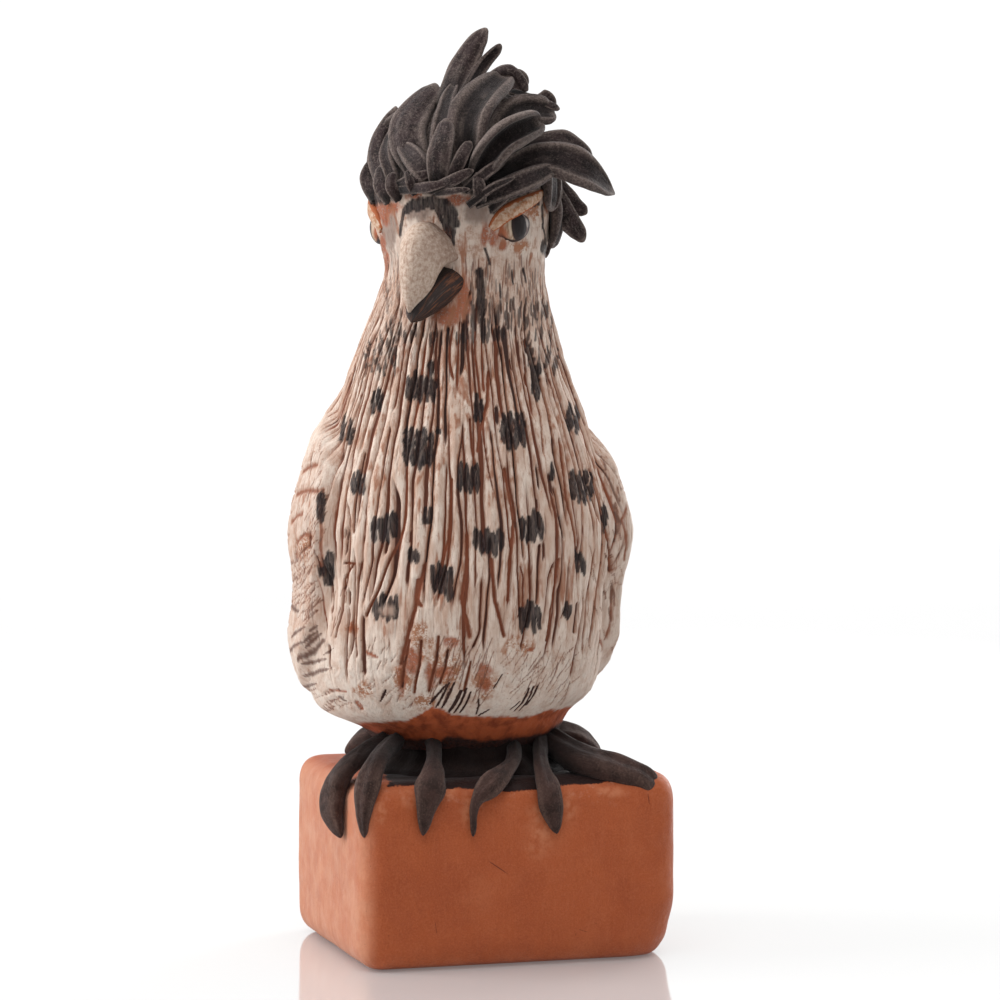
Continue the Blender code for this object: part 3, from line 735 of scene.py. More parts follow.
def coarse_mottle(size, seed, stretch=1.0, every=3):
    """mottle over the skin, worked out on every third point and filled in between."""
    rows = np.unique(np.append(np.arange(0, SKIN_ROWS, every), SKIN_ROWS - 1))
    thin = plain_skin[rows][:, ::every] * np.array([1, 1, 1 / stretch])
    values = mottle(thin.reshape(-1, 3), size, seed).reshape(len(rows), -1)
    values = np.concatenate([values, values[:, :1]], 1)
    across = np.arange(SKIN_COLUMNS) / every
    left = across.astype(int)
    share = across - left
    wide = values[:, left] * (1 - share) + values[:, np.minimum(left + 1, values.shape[1] - 1)] * share
    return np.stack([np.interp(np.arange(SKIN_ROWS), rows, column) for column in wide.T], 1)


# Every feather lies a little higher or lower than the next.
uneven = 0.6 * coarse_mottle(7 * MM, 3, stretch=7) + 0.3 * coarse_mottle(3 * MM, 4, stretch=5)
uneven *= soft_step(GOUGE_BOTTOM - 20, GOUGE_BOTTOM + 20, up) * soft_step(215, 190, up)
scuffs = 0.35 * coarse_mottle(9 * MM, 5) + 0.2 * coarse_mottle(3.2 * MM, 6, every=2)

# What is brushed and scraped on the skin, placed by the photograph's pixels. A stroke has
# the pixels that it runs through and its width there, also in pixels.
PIXEL = 0.41 * MM


def line_marks(strokes, ragged, tapered=0.35, soft=False):
    """How fully each point of the skin lies under some strokes, from 0 to 1. A stroke is
    its (radians round, parts up) places and its half width in millimetres; ragged is how
    much narrower or wider it is at each point, as a share."""
    inked = np.zeros_like(around)
    for places, half in strokes:
        for (turn_a, up_a), (turn_b, up_b) in zip(places, places[1:]):
            spare = (half * 2.2 + 0.8) * MM / PART
            ends = (min(up_a, up_b) - spare, max(up_a, up_b) + spare)
            rows = slice(*np.searchsorted(levels, ends))
            if rows.start == rows.stop:
                continue
            wide = plain_reach[rows] * PART / MM
            off = wrapped(around[rows] - turn_a) * wide
            rise = (up[rows] - up_a) * PART / MM
            step_off = wrapped(turn_b - turn_a) * wide
            step_rise = (up_b - up_a) * PART / MM
            t = (off * step_off + rise * step_rise) / np.maximum(step_off**2 + step_rise**2, 1e-6)
            t = np.clip(t, 0, 1)
            far = np.hypot(off - t * step_off, rise - t * step_rise) / half
            if len(places) == 2:
                far = far * (1 + tapered * (2 * t - 1) ** 4)
            far = far + ragged[rows]
            under = np.exp(-(np.maximum(far, 0) ** 2)) if soft else soft_step(1.12, 0.82, far)
            inked[rows] = np.maximum(inked[rows], under)
    return inked


def seen_stroke(width, *pixels):
    """A stroke through some of the photograph's pixels, given as x, y, x, y and so on."""
    places = [on_skin(x, y) for x, y in zip(pixels[::2], pixels[1::2])]
    middle = places[len(places) // 2][0]
    faced = max(math.cos(middle - math.radians(CLOSE_MIDDLE)), 0.35)
    return places, width / 2 * PIXEL / MM / faced**0.5


def seen_strokes(group):
    """The strokes of a table, whose rows are a width and the pixels."""
    return [seen_stroke(width, *pixels) for width, *pixels in group]


def line_at(turn, level, run, rise, half):
    """A straight stroke from a place on the skin, for the sides that the photograph hides."""
    return ((turn, level), (turn + run, level + rise)), half


bristle = coarse_mottle(0.75 * MM, 7, stretch=12, every=1)
frayed = 0.22 * coarse_mottle(2.6 * MM, 31, every=2) + 0.2 * coarse_mottle(1.1 * MM, 32, every=1)

# The black spots: middle, width and height. Each is a few dabs of a stiff brush, side by
# side along the feathers, dragged out to ragged ends.
SPOTS = (
    (420, 387, 30, 30),
    (375, 401, 12, 25),
    (345, 429, 14, 33),
    (418, 447, 30, 45),
    (514, 432, 25, 41),
    (537, 380, 9, 37),
    (479, 408, 9, 30),
    (574, 419, 12, 37),
    (469, 479, 22, 30),
    (583, 484, 23, 34),
    (358, 481, 16, 25),
    (320, 504, 4.6, 28),
    (383, 527, 25, 30),
    (427, 516, 9, 21),
    (488, 541, 30, 28),
    (532, 526, 23, 30),
    (328, 571, 7.5, 34),
    (413, 557, 12, 16),
    (442, 578, 22, 32),
    (449, 594, 7, 18),
    (386, 607, 25, 27),
    (531, 617, 21, 34),
    (568, 612, 7, 18),
    (581, 562, 9, 25),
    (438, 432, 5, 7),
    (430, 373, 5, 25),
    (606, 520, 7, 26),
    (553, 470, 4, 22),
)
DAB_WIDTH = 5.6
DAB_OVERLAP = 1.28

# The rows of spots on the far side: heights in parts from, to and apart, how many spots a
# row has, from where and over how many degrees it runs, and how far apart its dabs are.
FAR_SPOT_LEVELS = (64, 178, 21)
FAR_SPOTS = 8
FAR_SPOTS_FROM = 97
FAR_SPOTS_OVER = 158
FAR_DAB_PITCH = 2.604
FAR_SIDE = (95, 265)


def spot_dabs():
    """The dabs of every spot that the photograph shows."""
    made = []
    for x, y, wide, high in SPOTS:
        count = max(1, round(wide / DAB_WIDTH))
        for k in range(count):
            off = (k + 0.5) / count - 0.5
            middle = x + off * wide
            rounded = math.sqrt(max(1 - (1.5 * off) ** 2, 0.35))
            half = (high / 2 - wide / count * 0.25) * rounded * RNG.uniform(0.84, 1.1)
            drop = y + RNG.uniform(-0.1, 0.12) * high
            lean = RNG.uniform(-1, 1)
            pixels = (middle - lean, drop - half, middle + lean, drop + half)
            made.append(seen_stroke(wide / count * DAB_OVERLAP, *pixels))
    return made


def far_side_dabs():
    """The spots that go on round the sides and back, in rows set off from each other."""
    made = []
    for row, level in enumerate(np.arange(*FAR_SPOT_LEVELS)):
        for k in range(FAR_SPOTS):
            place = (k + 0.5 * (row % 2) + RNG.uniform(-0.25, 0.25)) / FAR_SPOTS
            turn = math.radians(FAR_SPOTS_FROM + FAR_SPOTS_OVER * place)
            height = level + RNG.uniform(-5, 5)
            for dab in (-1, 0, 1)[: RNG.randint(2, 4)]:
                side = turn + dab * FAR_DAB_PITCH / float(body_radius(turn, height))
                low = height - RNG.uniform(3.5, 7)
                made.append(line_at(side, low, 0, RNG.uniform(8, 14), RNG.uniform(1.8, 2.4)))
    return made


def dashes(count, from_pixel, to_pixel, length, width, lowest=3):
    """Short upright dashes of a fine brush, anywhere in a box of the photograph's pixels."""
    made = []
    for k in range(count):
        x = RNG.uniform(from_pixel[0], to_pixel[0])
        y = RNG.uniform(from_pixel[1], to_pixel[1])
        high = RNG.uniform(0.4, 1) * length + lowest
        made.append(seen_stroke(RNG.uniform(0.6, 1.3) * width, x, y - high / 2, x, y + high / 2))
    return made


def far_dashes(count, low, high, length, half):
    """The same dashes on the side that the photograph doesn't show, in parts."""
    made = []
    for k in range(count):
        turn = math.radians(RNG.uniform(*FAR_SIDE) + CLOSE_MIDDLE)
        level = RNG.uniform(low, high)
        made.append(line_at(turn, level, 0, RNG.uniform(0.4, 1) * length, half * RNG.uniform(0.6, 1.3)))
    return made


# Brushed and cut strokes: the width, and the pixels that the stroke runs through.
FACE_STROKES = (
    # the black arch over the beak, the wedge down its right side, and the strokes by it
    (10, 407, 210, 414, 203, 428, 201, 446, 204),
    (6, 416, 210, 426, 206, 440, 209),
    (3.6, 404, 212, 401, 225, 400, 236),
    (15.5, 442, 206, 449, 213, 452, 223),
    (8, 450, 222, 453, 235),
    (4, 453, 232, 453, 246),
    (5, 436, 209, 443, 222, 449, 236),
    (8.5, 480, 272, 481, 292, 482, 313),
    (6, 483, 316, 484, 342),
    (2.8, 485, 249, 488, 256, 490, 265),
    (2.6, 512, 271, 513, 284),
    (2.6, 524, 268, 526, 282),
    (2.4, 500, 284, 501, 298),
    # along the top of the brow, a painted shadow under the brow over the eye, and painted shade down the
    # right edge of the face under the crest
    (6, 492, 212, 500, 204, 511, 196, 529, 189),
    (4, 521, 212, 530, 207, 539, 203),
    (3.2, 542, 206, 543, 226, 546, 250),
    (8, 543, 246, 547, 254, 548, 266),
)
SCRATCHES = (
    # dark scratches in the skirt
    (3, 430, 704, 446, 686),
    (2.6, 436, 707, 449, 684),
    (3, 441, 709, 454, 684),
    (4.2, 448, 712, 461, 690),
    (2.6, 454, 713, 467, 688),
    (2.4, 460, 713, 471, 692),
    (2.2, 477, 713, 479, 700),
    (2.6, 479, 715, 489, 710),
    (2.2, 511, 709, 519, 701),
    (2.6, 515, 711, 530, 689),
    (2.4, 520, 711, 534, 686),
    (2.2, 527, 705, 538, 686),
    (2.6, 380, 701, 385, 690),
    (1.8, 494, 688, 503, 674),
)
BROWN_CUTS = (
    # the widest gouges, where the red clay lies open
    (5, 424, 566, 414, 610, 404, 646, 401, 664),
    (3, 402, 529, 388, 560, 378, 588, 366, 616),
    (2.2, 352, 564, 344, 579, 342, 610, 335, 637),
    (2.4, 344, 563, 352, 564),
    (4, 489, 372, 488, 402, 480, 432, 478, 452),
    (3, 452, 480, 448, 540, 443, 560),
    (5, 467, 536, 466, 570, 462, 600, 470, 636),
    (4, 505, 470, 514, 520, 510, 560, 509, 600),
    (3, 560, 440, 568, 500, 577, 556),
    (4, 590, 470, 604, 520, 612, 570),
    (3, 470, 420, 472, 450, 476, 470),
    (3, 560, 560, 552, 610, 548, 640),
    (4, 492, 560, 495, 600, 505, 636),
    (4, 409, 640, 404, 664, 401, 686),
    (3, 421, 640, 419, 664, 414, 692),
    (3.4, 438, 636, 436, 660, 429, 690),
    (3, 448, 650, 445, 668, 440, 684),
    (3, 471, 662, 464, 690),
)
WING_CUTS = (
    # arcs pressed into the wing that shows on the left, and its dark front edge
    (4, 302, 472, 309, 467, 316, 466),
    (4, 296, 494, 306, 491, 317, 491),
    (4, 291, 521, 297, 515, 301, 513),
    (4, 295, 558, 296, 543, 304, 535, 309, 537),
    (3, 303, 552, 308, 545, 309, 538),
    (3, 322, 490, 321, 530, 322, 574),
    (2.4, 627, 470, 622, 520, 626, 560),
    (2.2, 612, 590, 606, 640),
)
WING_DABS = (
    # thin dark dabs, one over the other down the wing's lower edge
    (6, 290, 603, 297, 612),
    (5, 291, 638, 304, 628),
    (3.8, 309, 632, 316, 626),
    (3.8, 304, 642, 317, 632),
    (5.4, 290, 653, 304, 642),
    (4.4, 305, 648, 321, 634),
    (6, 297, 660, 311, 653, 323, 641),
    (6, 302, 664, 325, 659),
    (6.4, 304, 676, 328, 669),
    (3.6, 323, 655, 333, 648),
    (4, 304, 687, 316, 684),
    (6, 338, 697, 345, 701),
)
CHIPS = (
    # small flakes of slip knocked off down to the red clay
    (4, 346, 629, 358, 628),
    (6, 351, 622, 352, 630),
    (3.6, 362, 651, 377, 658),
    (5, 356, 702, 362, 709),
    (2.4, 329, 689, 346, 692),
    (3.6, 528, 650, 534, 648),
    (3, 447, 638, 459, 641),
    (3, 601, 636, 602, 650),
)

# Where the slip is hatched with a point: the pixels of the box that holds the strokes, how
# many there are, how far they run across and up at its top and at its foot, and their width.
HATCHED = (
    ((288, 556, 312, 616), 36, (9, -13), (15, -20), 1.5),
    ((288, 600, 322, 626), 12, (9, -13), (15, -16), 1.5),
    ((300, 690, 350, 716), 16, (12, -4), (18, -6), 1.5),
    ((330, 590, 350, 640), 9, (3, -20), (5, -22), 1.8),
    ((430, 650, 500, 708), 36, (9, -22), (11, -28), 1.7),
    ((500, 660, 590, 706), 40, (13, -19), (15, -20), 1.6),
    ((345, 640, 430, 712), 26, (4, -8), (9, -10), 1.6),
    ((590, 560, 624, 660), 18, (-3, -20), (-2, -14), 1.7),
    ((294, 450, 326, 556), 34, (4, -16), (9, -14), 1.4),
    ((602, 450, 628, 590), 20, (4, 15), (5, 20), 1.5),
)

# The same on the unseen side, in parts and mm: how many strokes, over how many degrees and
# heights, how far they lean, and half their width.
FAR_HATCHES = 190
FAR_HATCHED = (96, 264)
FAR_HATCH_LEVELS = (22, 52)
FAR_HATCH_LEAN = 0.006
FAR_HATCH_HALF = 0.32

# The flight feathers on each wing and the barbs on each of them: how many, the height of
# the first in parts and how far below it the next lies, how many degrees behind the wing's
# front edge they start and where they end, how far they fall and bend, and half widths.
VANES = 11
VANE_TOP = 146
VANE_PITCH = 9.5
VANE_INSET = 30
VANE_END = 168
VANE_DROP = 12
VANE_BEND = 34
VANE_HALF = 0.5
BARBS = 9
BARB_LEAN = 0.05
BARB_HALF = 0.28

# Patches of the skin, by pixels: middle, half width and half height.
BARE_PATCHES = (
    # where the slip is rubbed or chipped off down to the clay
    (390, 208, 11, 7),
    (414, 195, 8, 5),
    (457, 199, 14, 6),
    (384, 216, 5, 9),
    (372, 214, 6, 12),
    (464, 300, 8, 26),
    (446, 316, 17, 12),
    (448, 238, 4, 15),
    (485, 236, 5, 13),
    (493, 238, 7, 9),
    (503, 246, 4, 5),
    (377, 209, 8, 9),
    (547, 202, 4, 12),
    (382, 246, 4, 13),
    (386, 262, 3, 12),
    (402, 677, 5, 17),
    (412, 662, 9, 15),
    (484, 670, 8, 9),
    (430, 676, 5, 14),
    (442, 672, 13, 7),
    (451, 642, 7, 6),
    (484, 684, 7, 9),
)
SCRAPED_AND_SHADED = (
    # where the slip is scraped thin, down to the brown clay; the last two are painted shade under the eye
    # and under the brow
    (404, 676, 9, 24),
    (420, 640, 11, 18),
    (444, 668, 20, 18),
    (484, 684, 12, 13),
    (424, 702, 14, 7),
    (365, 690, 10, 8),
    (350, 629, 7, 5),
    (302, 545, 8, 13),
    (520, 645, 14, 10),
    (520, 247, 12, 6),
    (534, 212, 8, 9),
)
RUSTY = (
    # where the red clay has stained the slip between the feathers
    (455, 390, 30, 56),
    (500, 375, 46, 30),
    (505, 450, 22, 66),
    (425, 480, 20, 70),
    (560, 470, 14, 70),
    (600, 480, 12, 60),
    (400, 360, 40, 18),
    (370, 460, 18, 60),
    (302, 490, 9, 50),
    (452, 570, 26, 60),
    (520, 590, 22, 50),
    (400, 610, 26, 40),
    (565, 590, 26, 50),
    (300, 530, 7, 46),
    (393, 222, 14, 20),
    (434, 224, 16, 12),
    (462, 250, 6, 30),
    (452, 318, 24, 14),
    (384, 268, 6, 30),
    (500, 240, 13, 10),
    (460, 252, 4, 16),
    (526, 258, 8, 6),
    (378, 220, 8, 30),
)


def patches(places, seed, ragged=0.45):
    """Ragged patches of the skin, each an ellipse of the photograph's pixels."""
    ragged_edge = ragged * coarse_mottle(2.4 * MM, seed, stretch=1.6, every=2)
    ragged_edge = ragged_edge + 0.5 * ragged * coarse_mottle(0.9 * MM, seed + 20, stretch=2, every=1)
    shown = np.zeros_like(around)
    for x, y, half_wide, half_high in places:
        far = np.hypot((seen_x - x) / half_wide, (seen_y - y) / half_high) + ragged_edge
        shown = np.maximum(shown, soft_step(1.3, 0.55, far))
    return shown


def hatching():
    """The fine strokes of every hatched patch, and more of them round the unseen side."""
    made = []
    for (left, top, right, low), count, at_top, at_foot, width in HATCHED:
        for k in range(count):
            down = (k + RNG.uniform(0, 1)) / count
            x, y = left + (right - left) * RNG.uniform(0, 1) * 0.8, top + (low - top) * down
            run, rise = ((a + (b - a) * down) * RNG.uniform(0.5, 1.1) for a, b in zip(at_top, at_foot))
            bend = 0.12 * run * RNG.choice((-1, 1))
            places = (x, y, x + run / 2 + bend, y + rise / 2, x + run, y + rise)
            made.append(seen_stroke(width * RNG.uniform(0.6, 1.2), *places))
    for k in range(FAR_HATCHES):
        turn = math.radians(RNG.uniform(*FAR_HATCHED) + CLOSE_MIDDLE)
        level = RNG.uniform(*FAR_HATCH_LEVELS)
        size = RNG.uniform(3, 9)
        made.append(line_at(turn, level, FAR_HATCH_LEAN * size, size, FAR_HATCH_HALF))
    return made


def vane_place(side, front, high, share):
    """The place a share of the way along a flight feather: radians round, and parts up."""
    turn = front + share * (VANE_END - front)
    return side * math.radians(turn), high - VANE_DROP * share - VANE_BEND * share**1.6


def wing_vanes():
    """The long flight feathers cut into the sides and back of both folded wings."""
    made = []
    for side in (-1, 1):
        for k in range(VANES):
            high = VANE_TOP - VANE_PITCH * k
            front = float(curve_through(WING_FRONT, np.float64(high))) + VANE_INSET
            shaft = [vane_place(side, front, high, share) for share in np.linspace(0, 1, 7)]
            made.append((shaft, VANE_HALF))
            for barb in range(BARBS):
                turn, level = vane_place(side, front, high, (barb + RNG.uniform(0.1, 0.9)) / BARBS)
                level -= RNG.uniform(1, 5)
                made.append(line_at(turn, level, side * BARB_LEAN, -RNG.uniform(3, 7), BARB_HALF))
    return made


# More patches: smoothed by a finger under the beak, rubbed out of one spot, washed with a
# warmer tint on both wings, darker on the left wing also as painted shade, and greyed where
# the black slip has run thin beside the crest.
SMOOTHED = ((446, 314, 19, 13), (462, 302, 8, 20))
RUBBED_SPOT = ((387, 612, 8, 7),)
LEFT_WING_TINT_AND_SHADE = ((300, 560, 26, 110),)
TINTED_RIGHT = ((575, 470, 30, 100),)
GREYED = ((476, 213, 14, 12), (418, 212, 15, 9), (389, 228, 9, 26))

spots = line_marks(spot_dabs() + far_side_dabs(), 0.55 * bristle, tapered=0.8)
# The collar of dark dashes, and the fine ones that run up over the cheeks.
collar = dashes(95, (462, 303), (552, 338), 12, 2.4) + far_dashes(110, 172, 187, 9, 0.55)
collar += dashes(34, (376, 328), (470, 346), 12, 2.1)
collar += dashes(30, (362, 345), (396, 372), 14, 2.2) + dashes(26, (526, 345), (562, 372), 14, 2.2)
cheeks = dashes(80, (470, 268), (546, 322), 13, 1.5) + dashes(30, (384, 262), (400, 342), 22, 1.5)
collar = line_marks(collar, 0.5 * bristle)
cheeks = line_marks(cheeks, 0.5 * bristle)
smoothed = patches(SMOOTHED, 29)
painted = np.maximum.reduce([spots, 0.85 * collar, 0.55 * cheeks]) * (1 - smoothed)
painted = np.maximum(painted, line_marks(seen_strokes(FACE_STROKES), frayed, tapered=0.6))
painted = painted * (1 - 0.7 * patches(RUBBED_SPOT, 23))
dabbed = line_marks(seen_strokes(WING_DABS), 1.4 * frayed, tapered=0.9, soft=True)
scratches = line_marks(seen_strokes(SCRATCHES), frayed)
hatched = line_marks(hatching(), frayed, tapered=1.2, soft=True)
brown_cuts = line_marks(seen_strokes(BROWN_CUTS), frayed, soft=True)
wing_cuts = line_marks(seen_strokes(WING_CUTS) + wing_vanes(), frayed, soft=True)
chips = line_marks(seen_strokes(CHIPS), 1.6 * frayed, tapered=0.6)
bare = np.maximum(patches(BARE_PATCHES, 8), chips)
worn_behind = 0.35 * soft_step(60, 40, up) * turned_away
streaky = coarse_mottle(1.5 * MM, 17, stretch=11, every=1) + 0.5 * coarse_mottle(6 * MM, 18, stretch=3)
rusty = patches(RUSTY, 16, ragged=0.8) * soft_step(-0.2, 0.45, streaky)
tint_and_shade = soft_step(-0.1, 0.6, streaky) * soft_step(44, 70, up)
# the left wing's patch also darkens it as painted shade
tint_and_shade = tint_and_shade + 1.2 * patches(LEFT_WING_TINT_AND_SHADE, 19) + 0.6 * patches(TINTED_RIGHT, 25)

# The slip's lower edge, the painted shade laid on in black over the underside of the belly
# below the bare clay, and the black wash that runs out from under the crest down to a ragged
# hairline: lines through the photograph's pixels, and heights in parts where they go on behind.
SLIP_LINE = (
    (340, 726), (378, 722), (408, 720), (421, 713), (432, 706), (442, 709), (452, 715), (520, 717),
    (566, 707),
)
FOOT_LINE = (
    (366, 727), (390, 736), (418, 740), (428, 738), (434, 745), (440, 741), (447, 736), (480, 741),
    (520, 738), (545, 734), (560, 722),
)
HAIRLINE = (
    (350, 208), (378, 204), (394, 199), (404, 190), (418, 187), (425, 195), (437, 196), (443, 191),
    (462, 192), (470, 196), (480, 198), (492, 208), (505, 203), (525, 192), (548, 186), (560, 186),
)
SLIP_BEHIND = 21.5
FOOT_BEHIND = 12.5
HAIRLINE_BEHIND = 233
FACE_FROM = 225

on_show = seen_x > 0
wavy = 2.2 * coarse_mottle(8 * MM, 9, every=2) + 1.2 * coarse_mottle(2 * MM, 10, every=2)
slip_y, foot_y = (np.interp(seen_x, *zip(*line)) - wavy for line in (SLIP_LINE, FOOT_LINE))
slip_behind = soft_step(SLIP_BEHIND + 0.5, SLIP_BEHIND - 0.5, up + wavy / 2)
foot_behind = soft_step(FOOT_BEHIND + 0.5, FOOT_BEHIND - 0.5, up + wavy / 2)
below_slip = np.where(on_show, soft_step(-1, 1, seen_y - slip_y), slip_behind)
# painted shade: the underside of the belly below this line is laid on in black
belly_underside_shade = np.where(on_show, soft_step(-1.5, 1.5, seen_y - foot_y), foot_behind)
hair_y = curve_through(HAIRLINE, seen_x) - 5 * coarse_mottle(2.2 * MM, 12, every=2)
hair_behind = soft_step(-1, 1, up - HAIRLINE_BEHIND)
washed = np.where(on_show, soft_step(hair_y + 3, hair_y - 3, seen_y), hair_behind)
washed = np.where(up > FACE_FROM, washed, 0)

# Everything that cuts into the skin, in mm, and how fully it cuts and stains the slip.
cuts = [depth * (1 - 0.7 * smoothed), 1.7 * brown_cuts, 0.8 * wing_cuts, 0.7 * scratches]
cuts += [0.45 * hatched, 0.45 * bare]
beyond_carving = 1 - soft_step(48, 62, up) * soft_step(222, 205, up)
relief = uneven + scuffs + 0.25 * coarse_mottle(1.3 * MM, 13, every=1) * beyond_carving
relief = (relief - np.maximum.reduce(cuts)) * MM / PART
gouged = [inside, 0.95 * brown_cuts, 0.7 * wing_cuts, scratches, 0.66 * hatched, 0.74 * dabbed]
stained = [stain, brown_cuts**0.5, 0.8 * wing_cuts**0.5, 0.6 * hatched**0.5, 0.75 * rusty]
dark = np.where(brown_cuts > 0.5, 0.3 * dark, dark)
dark = np.where(wing_cuts > 0.4, 0.15, dark)
dark = np.where(np.maximum(hatched, dabbed) > 0.4, 0.75, dark)
skin = skin_points(around, up, relief)
skin_marks = {
    "gouged": np.maximum.reduce(gouged) * (1 - np.maximum(below_slip, 0.8 * smoothed)),
    "stained": np.maximum.reduce(stained) * (1 - below_slip),
    "dark": np.maximum(dark, scratches),
    "black_and_shade": np.maximum.reduce([painted, washed, belly_underside_shade]),
    "bare": bare,
    "below_slip": below_slip,
    "pale": np.maximum(0.8 * wing, soft_step(66, 42, up)),
    "grey": patches(GREYED, 11, ragged=0.35),
    "neck": soft_step(176, 200, up) * soft_step(236, 206, up),
    "face": soft_step(204, 216, up),
    "worn_thin_and_shade": np.maximum(patches(SCRAPED_AND_SHADED, 15, ragged=0.7), worn_behind),
    "tint_and_shade": tint_and_shade,
}

# Cream slip over red clay: thickest on the ridges and the skirt, dragged thin on the neck,
# with the gouges stained brown and darker in their middles, partly as painted shade, the spots
# brushed in black slip, painted shade laid on in black under the belly and round the brow,
# and chips down to the clay.
SLIP_CREAM = colour(219, 201, 187)
SLIP_THIN = colour(184, 151, 132)
SLIP_WHITE = colour(214, 200, 188)
SLIP_STAINED = colour(150, 98, 72)
SLIP_WORN = colour(146, 104, 82)
SLIP_TINT_AND_SHADE = colour(188, 154, 135)
# the red clay laid open in the gouges, and a black-brown that darkens them, partly painted shade down in the
# cuts
GOUGE_RED = colour(134, 74, 50)
GOUGE_DARK = colour(58, 37, 32)
CLAY_BARE = colour(160, 84, 50)
CLAY_SHADED = colour(128, 62, 36)
CLAY_SCRAPED_AND_SHADE = colour(162, 112, 84)
RING_CLAY = colour(176, 86, 48)
RING_SHADED = colour(130, 59, 32)
SLIP_BLACK = colour(27, 19, 20)
SLIP_BLACK_DRY = colour(64, 53, 53)
SLIP_GREY = colour(134, 114, 104)

slip, tree, shader = start_finish("carved_cream_slip", 0.8, specular=0.3)
brushing = grain(tree, 0.8 * MM, stretch=(1, 1, 12), detail=6, rough=0.62, seed=11)
hairs = grain(tree, 0.45 * MM, stretch=(1, 1, 22), detail=4, rough=0.6, seed=16)
wash = grain(tree, 5 * MM, stretch=(1, 1, 3), detail=6, seed=12)
pits = grain(tree, 1.1 * MM, detail=7, rough=0.72, seed=13)
blotch = grain(tree, 4.2 * MM, detail=8, rough=0.72, seed=17)
flakes = grain(tree, 3.2 * MM, detail=7, rough=0.65, seed=14)
bare_clay = laid_over(between(pits, 0.40, 0.62), CLAY_BARE, CLAY_SHADED)
ring_clay = laid_over(between(wash, 0.4, 0.66), RING_CLAY, RING_SHADED)
gouge_edge = sums("ADD", marked(tree, "stained"), between(brushing, *CLOUD_SPREAD, -0.16, 0.2))
gouge_tone = laid_over(marked(tree, "dark"), GOUGE_RED, GOUGE_DARK)
ink = laid_over(between(hairs, 0.46, 0.66), SLIP_BLACK, SLIP_BLACK_DRY)
coat = coated(
    tree,
    SLIP_CREAM,
    (None, between(wash, 0.38, 0.66, 0, 0.8), SLIP_THIN),
    (None, between(brushing, 0.50, 0.70, 0, 0.7), SLIP_THIN),
    (None, between(hairs, 0.60, 0.70, 0, 0.6), SLIP_STAINED),
    ("tint_and_shade", 0.55, SLIP_TINT_AND_SHADE),
    # dragged thin on the neck
    ("neck", between(brushing, 0.38, 0.62, 0.05, 0.62), SLIP_WORN),
    ("neck", between(pits, 0.52, 0.66, 0, 0.45), SLIP_STAINED),
    # thick, pitted and scraped on the skirt and the wings
    ("pale", between(blotch, 0.36, 0.58, 0.95, 0.2), SLIP_WHITE),
    ("pale", between(pits, 0.54, 0.67, 0, 0.42), SLIP_WORN),
    ("pale", between(blotch, 0.60, 0.68, 0, 0.5), SLIP_STAINED),
    # daubed and smudged on the face
    ("face", between(blotch, 0.40, 0.62, 0.6, 0.1), SLIP_WHITE),
    ("face", between(blotch, 0.52, 0.68, 0, 0.6), SLIP_WORN),
    # worn or chipped down to the clay, with painted shade by the eye in the same colour, and the ring below
    # the slip
    ("worn_thin_and_shade", between(sums("MULTIPLY", pits, blotch), 0.20, 0.27), CLAY_SCRAPED_AND_SHADE),
    ("grey", 0.85, SLIP_GREY),
    ("pale", between(flakes, 0.665, 0.70, 0, 0.8), CLAY_BARE),
    ("bare", between(pits, 0.68, 0.5, 0.25, 0.9), bare_clay),
    ("below_slip", 1, ring_clay),
    # the gouges and their brown edges, darker in their middles partly as painted shade, and over all the
    # black slip, with painted shade laid on in black under the belly and round the brow
    (None, between(gouge_edge, 0.22, 0.95, 0, 0.9), SLIP_STAINED),
    (None, between(marked(tree, "gouged"), 0.35, 0.85), gouge_tone),
    ("black_and_shade", between(brushing, 0.34, 0.70, 1, 0.82), ink),
)
finished(shader, coat, wash, 0.66, 0.88, [(brushing, 0.3 * MM), (pits, 0.25 * MM), (blotch, 0.3 * MM)])
across_columns = np.roll(skin, -1, 1) - np.roll(skin, 1, 1)
normals = unit(np.cross(across_columns, np.gradient(skin, axis=0)))


def closed_faces(rows, columns):
    """Quads round rows of points, closed at each end to one of the two points after them."""
    root, tip = rows * columns, rows * columns + 1
    last = (rows - 1) * columns
    around_end = [(at, (at + 1) % columns) for at in range(columns)]
    faces = grid_faces(rows, columns).tolist()
    faces += [[beside, at, root] for at, beside in around_end]
    return faces + [[at + last, beside + last, tip] for at, beside in around_end]


def skin_piece(name, first, last):
    """The rows of the skin from first to last as one closed lump, lit as one with the rest."""
    rows = slice(first, last + 1)
    points = skin[rows].reshape(-1, 3)
    ends = [points[:SKIN_COLUMNS].mean(0), points[-SKIN_COLUMNS:].mean(0)]
    values = {mark: np.append(value[rows].ravel(), [0, 0]) for mark, value in skin_marks.items()}
    faces = closed_faces(last - first + 1, SKIN_COLUMNS)
    piece = clay_piece(name, np.append(points, ends, 0), faces, values, slip)
    turned = np.append(normals[rows].reshape(-1, 3), [[0, 0, -1], [0, 0, 1]], 0)
    piece.data.normals_split_custom_set_from_vertices(turned)


third = (SKIN_ROWS - 1) // 3
skin_piece("bird_belly", 0, third)
skin_piece("bird_breast", third, 2 * third)
skin_piece("bird_head", 2 * third, SKIN_ROWS - 1)

